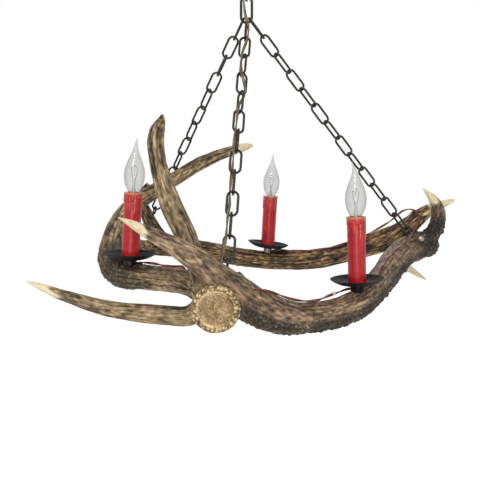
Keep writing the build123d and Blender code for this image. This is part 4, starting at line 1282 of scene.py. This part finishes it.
# Each drip: degrees to the right of the camera's side, length of its run and width.
FRONT_DRIPS = [
    (-26, 24, 3.6), (22, 30, 3.8), (0, 6, 9.0), (72, 30, 4.0),
    (-80, 10, 5.0), (130, 22, 4.5), (180, 14, 6.0), (-130, 26, 4.0),
]
LEFT_DRIPS = [
    (-20, 24, 4.2), (28, 30, 4.2), (4, 9, 7.0), (80, 20, 4.0),
    (-75, 12, 5.0), (140, 24, 4.5), (-150, 16, 5.0),
]
BACK_DRIPS = [
    (-35, 15, 4.0), (10, 21, 4.2), (48, 26, 4.0), (-90, 22, 4.0),
    (120, 12, 5.0), (-150, 27, 4.2),
]
sleeve("front", FRONT_DRIPS, 1.3)
sleeve("left", LEFT_DRIPS, 4.6)
sleeve("back", BACK_DRIPS, 9.2)

# %% [markdown]
# The pans are spun shallow dishes with a rolled edge. They don't sit quite square on their hubs,
# so each has a small tilt of its own. The hubs are collars with turned rings.

# %% Pans
PAN_OUTER = [(PIPE_HOLE, 0), (17, 0), (22, 0.5), (28, 2.1), (34, 4.9), (38.2, 7.6), (39.9, 9.0)]
PAN_EDGE = [(40.3, 9.4), (40.3, 9.8), (39.8, 10.0), (39.3, 9.9)]
PAN_INNER = [(37.4, 8.3), (33.4, 5.8), (27.6, 3.1), (21.8, 1.6), (17.0, PAN_WALL)]
PAN_HOLE = [(PIPE_HOLE, PAN_WALL), (PIPE_HOLE, 0)]

for side, tilt in (("front", -0.6), ("left", -2.5), ("back", 4.0)):
    points, faces = turned(PAN_OUTER + PAN_EDGE + PAN_INNER + PAN_HOLE, 96)
    points = placed(points, on_candle(side, HUB_HEIGHT, tilt))
    name, node = f"pan_{side}_spun", (f"drip_pan_{side}",)
    make_piece(name, points, faces, black_paint, "pendant", node, "black_paint")


# %% Hubs
def hub(side, finish, slot):
    """The collar under a pan, with turned rings."""
    radius = CANDLES[side]["hub"] / 2
    groove = radius - 0.7
    profile = [(PIPE_HOLE, 0.0), (radius - 1.2, 0.0), (radius - 0.3, 0.8)]
    for low in (1.2, 3.3, 5.4, 7.5):
        profile += [(radius, low), (radius, low + 1.3), (groove, low + 1.6), (groove, low + 2.0)]
    profile += [(radius - 0.4, 10.2), (radius - 1.2, HUB_HEIGHT)]
    profile += [(PIPE_HOLE, HUB_HEIGHT), (PIPE_HOLE, 0.0)]
    points, faces = turned(profile, 64)
    points = placed(points, on_candle(side, 0))
    name, node = f"hub_{side}_turned", (f"candle_hub_{side}",)
    make_piece(name, points, faces, finish, "pendant", node, slot, 35)


hub("front", black_paint, "black_paint")
hub("left", bronze_paint, "bronze_paint")
hub("back", zinc_steel, "zinc_steel")

# %% [markdown]
# A flame bulb is blown into a mould and its tip is drawn off hot, which leaves the thin curl. The
# curl of the front bulb leans to the left of the picture.

# %% Bulb glass
# Height over the socket and radius.
GLASS_PROFILE = [
    (0.0, 6.3), (3.0, 7.3), (6.0, 9.2), (10.0, 11.6), (15.0, 13.7), (21.0, 15.2), (28.0, 15.9),
    (34.0, 15.8), (41.0, 14.5), (48.0, 12.2), (55.0, 9.4), (62.0, 6.4), (68.0, 4.2), (74.0, 2.6),
    (80.0, 1.6), (84.5, 0.9),
]
GLASS_SIDES = 64
GLASS_ROWS = 60
SOFTENER = (0.1, 0.2, 0.4, 0.2, 0.1)
CURL_FROM = 58
CURL_LENGTH = 26
CURLS = {"front": (-4.5, 0.0), "left": (1.2, 0.5), "back": (0.6, 0.8)}

knots = np.array(GLASS_PROFILE)
heights = np.linspace(0, knots[-1, 0], GLASS_ROWS)
radii = np.interp(heights, knots[:, 0], knots[:, 1])
radii = np.convolve(np.pad(radii, 2, mode="edge"), SOFTENER, mode="valid")
glass_shapes = {}
for side, curl in CURLS.items():
    points, faces = turned(list(zip(radii, heights)), GLASS_SIDES)
    bend = np.maximum(0, (points[:, 2] - CURL_FROM) / CURL_LENGTH) ** 2
    points[:, :2] += bend[:, None] * curl
    tip = len(points)
    for i in range(GLASS_SIDES):
        faces.append((tip - GLASS_SIDES + i, tip - GLASS_SIDES + (i + 1) % GLASS_SIDES, tip))
    glass_shapes[side] = (np.vstack([points, (*curl, heights[-1] + 0.6)]), faces)
print("glass shapes:", list(glass_shapes))

# %% [markdown]
# Inside each bulb stand the pressed stem, two lead wires with a support between them, and the
# coiled filament that hangs over it.

# %% Stem and filament
STEM_PROFILE = [
    (0.1, 0.9), (3.2, 0.9), (2.9, 8), (2.3, 15), (1.7, 20), (2.4, 23), (1.9, 25.6), (0.1, 26.5),
]
LEAD = [(1.0, 0, 18), (2.2, 0, 26), (4.6, 0, 36), (4.9, 0, 40)]
SUPPORT = [(0, 0, 26), (0, 0.3, 34), (0, 0.4, 45)]
COIL_REACH = 4.9
COIL_RADIUS = 0.4
COIL_SAG = 5.0
COIL_TURNS = 14
COIL_STEPS = 90

share = np.linspace(0, 1, COIL_STEPS)
turn = share * 2 * np.pi * COIL_TURNS
coil_heights = 40 + COIL_SAG * (1 - np.abs(2 * share - 1)) + COIL_RADIUS * np.sin(turn)
coil = np.stack([COIL_REACH * (2 * share - 1), COIL_RADIUS * np.cos(turn), coil_heights], axis=1)
leads = [np.array(LEAD) * (sign, 1, 1) for sign in (-1, 1)]
wires = []
for line, radius in ((leads[0], 0.28), (leads[1], 0.28), (np.array(SUPPORT), 0.22), (coil, 0.16)):
    wires.append(tube_round(line, np.full(len(line), radius), 6))
print("wires in a bulb:", len(wires))

# %% Bulbs
for side, (points, faces) in glass_shapes.items():
    matrix, body = on_candle(side, SOCKET_TOP + BULB_GAP), f"bulb_{side}"
    name, node = f"bulb_{side}_envelope", (f"bulb_glass_{side}",)
    make_piece(name, placed(points, matrix), faces, clear_glass, body, node, "clear_glass", 80)
    points, faces = turned(STEM_PROFILE, 24)
    name, node = f"stem_{side}_pressed", (f"bulb_stem_{side}",)
    make_piece(name, placed(points, matrix), faces, stem_glass_painted_highlight, body, node, "clear_glass", 60)
    points, faces = gathered(wires)
    name = f"filament_{side}_wires"
    make_piece(name, placed(points, matrix), faces, tungsten, body, (), "brass", 60)

# %% [markdown]
# ## Screw eyes and lag screws
# The eyes are bent from bronzed wire and stand in holes in the horn. Their place follows from the
# last link of each chain: the eye lies square to that link and hooks it at the point below.

# %% Screw eyes
EYES = {
    "right": {"hook": (287, 86, -340), "roll": 60, "shank": (0.0, 0.1, -1.0)},
    "front": {"hook": (-27, -186, -357), "roll": 0, "shank": (0.1, -0.5, -0.85)},
    "left": {"hook": (-175, 186, -310), "roll": 170, "shank": (-0.5, 0.42, -0.75)},
}
EYE_RADIUS = 7.3
EYE_WIRE = 3.4
EYE_SHANK = 24.0
LINK_GAP = 0.3
EYE_START_DEG = -84
EYE_TURN_DEG = 318
EYE_STEPS = 33

for side, eye in EYES.items():
    hook = Vector(eye["hook"])
    pull = hook.normalized()
    across = (Vector((1, 0, 0)) - pull * pull.x).normalized()
    roll = math.radians(eye["roll"])
    link_way = across * math.cos(roll) + pull.cross(across) * math.sin(roll)
    shank = Vector(eye["shank"])
    shank = (shank - link_way * shank.dot(link_way)).normalized()
    spread = shank.cross(link_way)
    middle = hook + Vector(APEX_MM) + pull * (EYE_RADIUS - (EYE_WIRE + LINK_GAP) / 2)
    line = [middle + shank * (EYE_RADIUS + EYE_SHANK * share) for share in (1.0, 0.6, 0.3, 0.1)]
    for step in range(EYE_STEPS + 1):
        turn = math.radians(EYE_START_DEG + EYE_TURN_DEG * step / EYE_STEPS)
        line.append(middle + (spread * math.cos(turn) - shank * math.sin(turn)) * EYE_RADIUS)
    points, faces = tube_round(np.array(line), np.full(len(line), EYE_WIRE / 2), 14)
    name, node = f"eye_{side}_wire", (f"screw_eye_{side}",)
    make_piece(name, points, faces, bronze_chain, "pendant", node, "bronze_chain", 60)

# %% Lag screws
SCREW_HEAD = [(0.1, -4.6), (3.2, -4.4), (5.2, -3.6), (6.4, -2.1), (6.7, -0.8), (6.5, 0.0)]
SCREW_SHANK = [(3.0, 0.0), (3.0, 44.0), (0.2, 52.0)]
screws = []
for place, way in LAG_SCREWS:
    points, faces = turned(SCREW_HEAD + SCREW_SHANK, 32)
    screws.append((placed(points, standing(place, way)), faces))
name, node = "lag_screws_domed", ("lag_screws",)
make_piece(name, *gathered(screws), zinc_steel, "pendant", node, "zinc_steel", 40)

# %% [markdown]
# ## Cord pieces
# The section of two lobes is carried along each spline, turning slowly, as flex does when it is
# pulled through a chain.

# %% Twin flex section
def section_along(line, section, turns_per_metre):
    """Points and faces of a closed section carried along a line, turning as it goes."""
    tangents, sides, others = carried_frames(line)
    steps = np.linalg.norm(np.diff(line, axis=0), axis=1)
    turns = np.concatenate([[0.0], np.cumsum(steps)]) / 1000 * turns_per_metre * 2 * math.pi
    points = []
    for place, side, other, turn in zip(line, sides, others, turns):
        for x, y in section:
            across = x * math.cos(turn) - y * math.sin(turn)
            up = x * math.sin(turn) + y * math.cos(turn)
            points.append(place + side * across + other * up)
    return np.array(points), capped_faces(len(line), len(section))


def twin_section(lobe):
    """The outline of two round lobes side by side, each of that radius."""
    outline = []
    for side, start in ((1, -125), (-1, 55)):
        for step in range(9):
            turn = math.radians(start + 250 * step / 8)
            outline.append((side * lobe + lobe * math.cos(turn), lobe * math.sin(turn)))
    return outline


# %% [markdown]
# The supply cord is cut at the middle of the top link into two pieces, since on the real lamp each
# half bends between other bodies when it swings.

# %% Supply flex
FLEX_LOBE = 1.15
FLEX_TWIST = 9.0
SPLIT_Z = -76.7

points, faces = section_along(flex_line, twin_section(FLEX_LOBE), FLEX_TWIST)
size = len(twin_section(FLEX_LOBE))
cut = size * int(np.argmin(np.abs(flex_line[:, 2] - SPLIT_Z)))
upper_faces = [face for face in faces if max(face) < cut + size]
lower_faces = [tuple(corner - cut for corner in face) for face in faces if min(face) >= cut]
upper = ("flex_upper_twin", points[: cut + size], upper_faces, olive_vinyl, None)
lower = ("flex_lower_twin", points[cut:], lower_faces, olive_vinyl, None)
flex_upper = make_piece(*upper, ("flex_cord_ceiling", "flex_cord_link"), "olive_flex", 70)
flex_lower = make_piece(*lower, ("flex_cord_chain",), "olive_flex", 70)
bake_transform(flex_upper)
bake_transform(flex_lower)

# %% Feeder wires
FEEDER_LOBE = 1.05
FEEDER_TWIST = 12.0

for side, line in feeder_lines.items():
    points, faces = section_along(line, twin_section(FEEDER_LOBE), FEEDER_TWIST)
    name, node = f"feeder_{side}_wire", (f"feeder_wire_{side}",)
    make_piece(name, points, faces, brown_vinyl, "pendant", node, "brown_wire", 70)

# %% [markdown]
# A small moulded clip holds the front feeder to the beam. Its section is an arch with a groove for
# the wire underneath.

# %% Wire clip
CLIP_FROM, CLIP_TO = Vector((119, -136, -549.05)), Vector((136, -121, -547.05))
CLIP_ARCH = [(-3.0, 0), (-3.0, 1.4), (-2.2, 2.6), (-1.0, 3.1), (1.0, 3.1), (2.2, 2.6), (3.0, 1.4)]
CLIP_GROOVE = [(1.5, 0), (1.4, 0.8), (0.8, 1.4), (0, 1.6), (-0.8, 1.4), (-1.4, 0.8), (-1.5, 0)]
# Place along the clip and size of its section there.
CLIP_ROWS = ((2.5, 0.9), (2.2, 1.0), (-2.2, 1.0), (-2.5, 0.9))

section = CLIP_ARCH + [(3.0, 0)] + CLIP_GROOVE
points = [(shift, x * size, y * size) for shift, size in CLIP_ROWS for x, y in section]
faces = capped_faces(len(CLIP_ROWS), len(section))
along = (CLIP_TO - CLIP_FROM).normalized()
up = (Vector((0, 0, 1)) - along * along.z).normalized()
turn = Matrix((along, up.cross(along), up)).transposed().to_4x4()
points = placed(points, Matrix.Translation((CLIP_FROM + CLIP_TO) / 2) @ turn)
node = ("wire_clip",)
make_piece("clip_moulded", points, faces, white_nylon, "pendant", node, "white_nylon", 40)

# %% [markdown]
# ## Ceiling fitting
# The canopy is spun steel over a strap that screws to the ceiling box. A collar holds it up, and
# the loop below carries the first link.

# %% Canopy
CANOPY_RADIUS = 63.5
CANOPY_DEPTH = 24.0
CANOPY_FLAT = 18.0
CANOPY_RIM = 3.0
CANOPY_WALL = 1.2


def canopy_arc(wall):
    """The quarter arc of the canopy's outside, or of its inside at that wall."""
    arc = []
    for step in range(1, 13):
        turn = step / 12 * math.pi / 2
        across = (CANOPY_RADIUS - CANOPY_FLAT - wall) * math.cos(turn)
        down = (CANOPY_DEPTH - CANOPY_RIM - wall) * math.sin(turn)
        arc.append((CANOPY_FLAT + across, -CANOPY_RIM - down))
    return arc


outside = [(CANOPY_RADIUS, 0), (CANOPY_RADIUS, -CANOPY_RIM), *canopy_arc(0)]
hole = [(PIPE_HOLE, -CANOPY_DEPTH), (PIPE_HOLE, CANOPY_WALL - CANOPY_DEPTH)]
inside = [*canopy_arc(CANOPY_WALL)[::-1], (CANOPY_RADIUS - CANOPY_WALL, -CANOPY_RIM)]
inside += [(CANOPY_RADIUS - CANOPY_WALL, 0), (CANOPY_RADIUS, 0)]
points, faces = turned((outside + hole + inside)[::-1], 128)
node = ("ceiling_canopy",)
make_piece("canopy_spun", points, faces, bronze_paint, "ceiling_mount", node, "bronze_paint")

# %% Collar
COLLAR_PROFILE = [
    (PIPE_HOLE, -24.0), (PIPE_HOLE, -31.0), (10.4, -31.0), (12.0, -29.4), (12.0, -25.4),
    (10.5, -24.0), (PIPE_HOLE, -24.0),
]
points, faces = turned(COLLAR_PROFILE, 64)
node = ("collar_ring",)
make_piece("collar_turned", points, faces, bronze_paint, "ceiling_mount", node, "bronze_paint", 35)

# %% Loop
LOOP_RADIUS = 11.25
LOOP_WIRE = 5.0
LOOP_Z = -50.75
NECK_PROFILE = [
    (3.3, -1.2), (3.3, -40.5), (5.0, -40.5), (7.5, -36.5), (7.5, -32.0), (7.0, -31.0),
    (5.15, -31.0), (5.15, -1.2), (3.3, -1.2),
]
turns = np.linspace(0, 2 * np.pi, 48, endpoint=False)
ring_line = [(LOOP_RADIUS * math.cos(t), 0, LOOP_Z + LOOP_RADIUS * math.sin(t)) for t in turns]
ring = wire_ring(ring_line, (0, -1, 0), LOOP_WIRE / 2, 16)
points, faces = gathered([turned(NECK_PROFILE, 48), ring])
name, node = "canopy_loop_cast", ("canopy_loop",)
make_piece(name, points, faces, bronze_paint, "ceiling_mount", node, "bronze_paint", 40)

# %% [markdown]
# ## Solids that stay
# The strap, the nuts, the pipes, the sockets and the bulbs' caps already have their shape in the
# frame, so they only take a finish.

# %% Finishes on the frame's own solids
KEPT_FINISHES = {
    "mounting_strap": zinc_steel,
    "pipe_nut": zinc_steel,
    "candle_pipe": zinc_steel,
    "pan_nut": zinc_steel,
    "socket_body": phenolic,
    "socket_shell": brass,
    "bulb_cap": brass,
}
for node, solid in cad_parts.items():
    for start, finish in KEPT_FINISHES.items():
        if node.startswith(start):
            for material_slot in solid.material_slots:
                material_slot.material = finish
            print(node, "takes", finish.name)
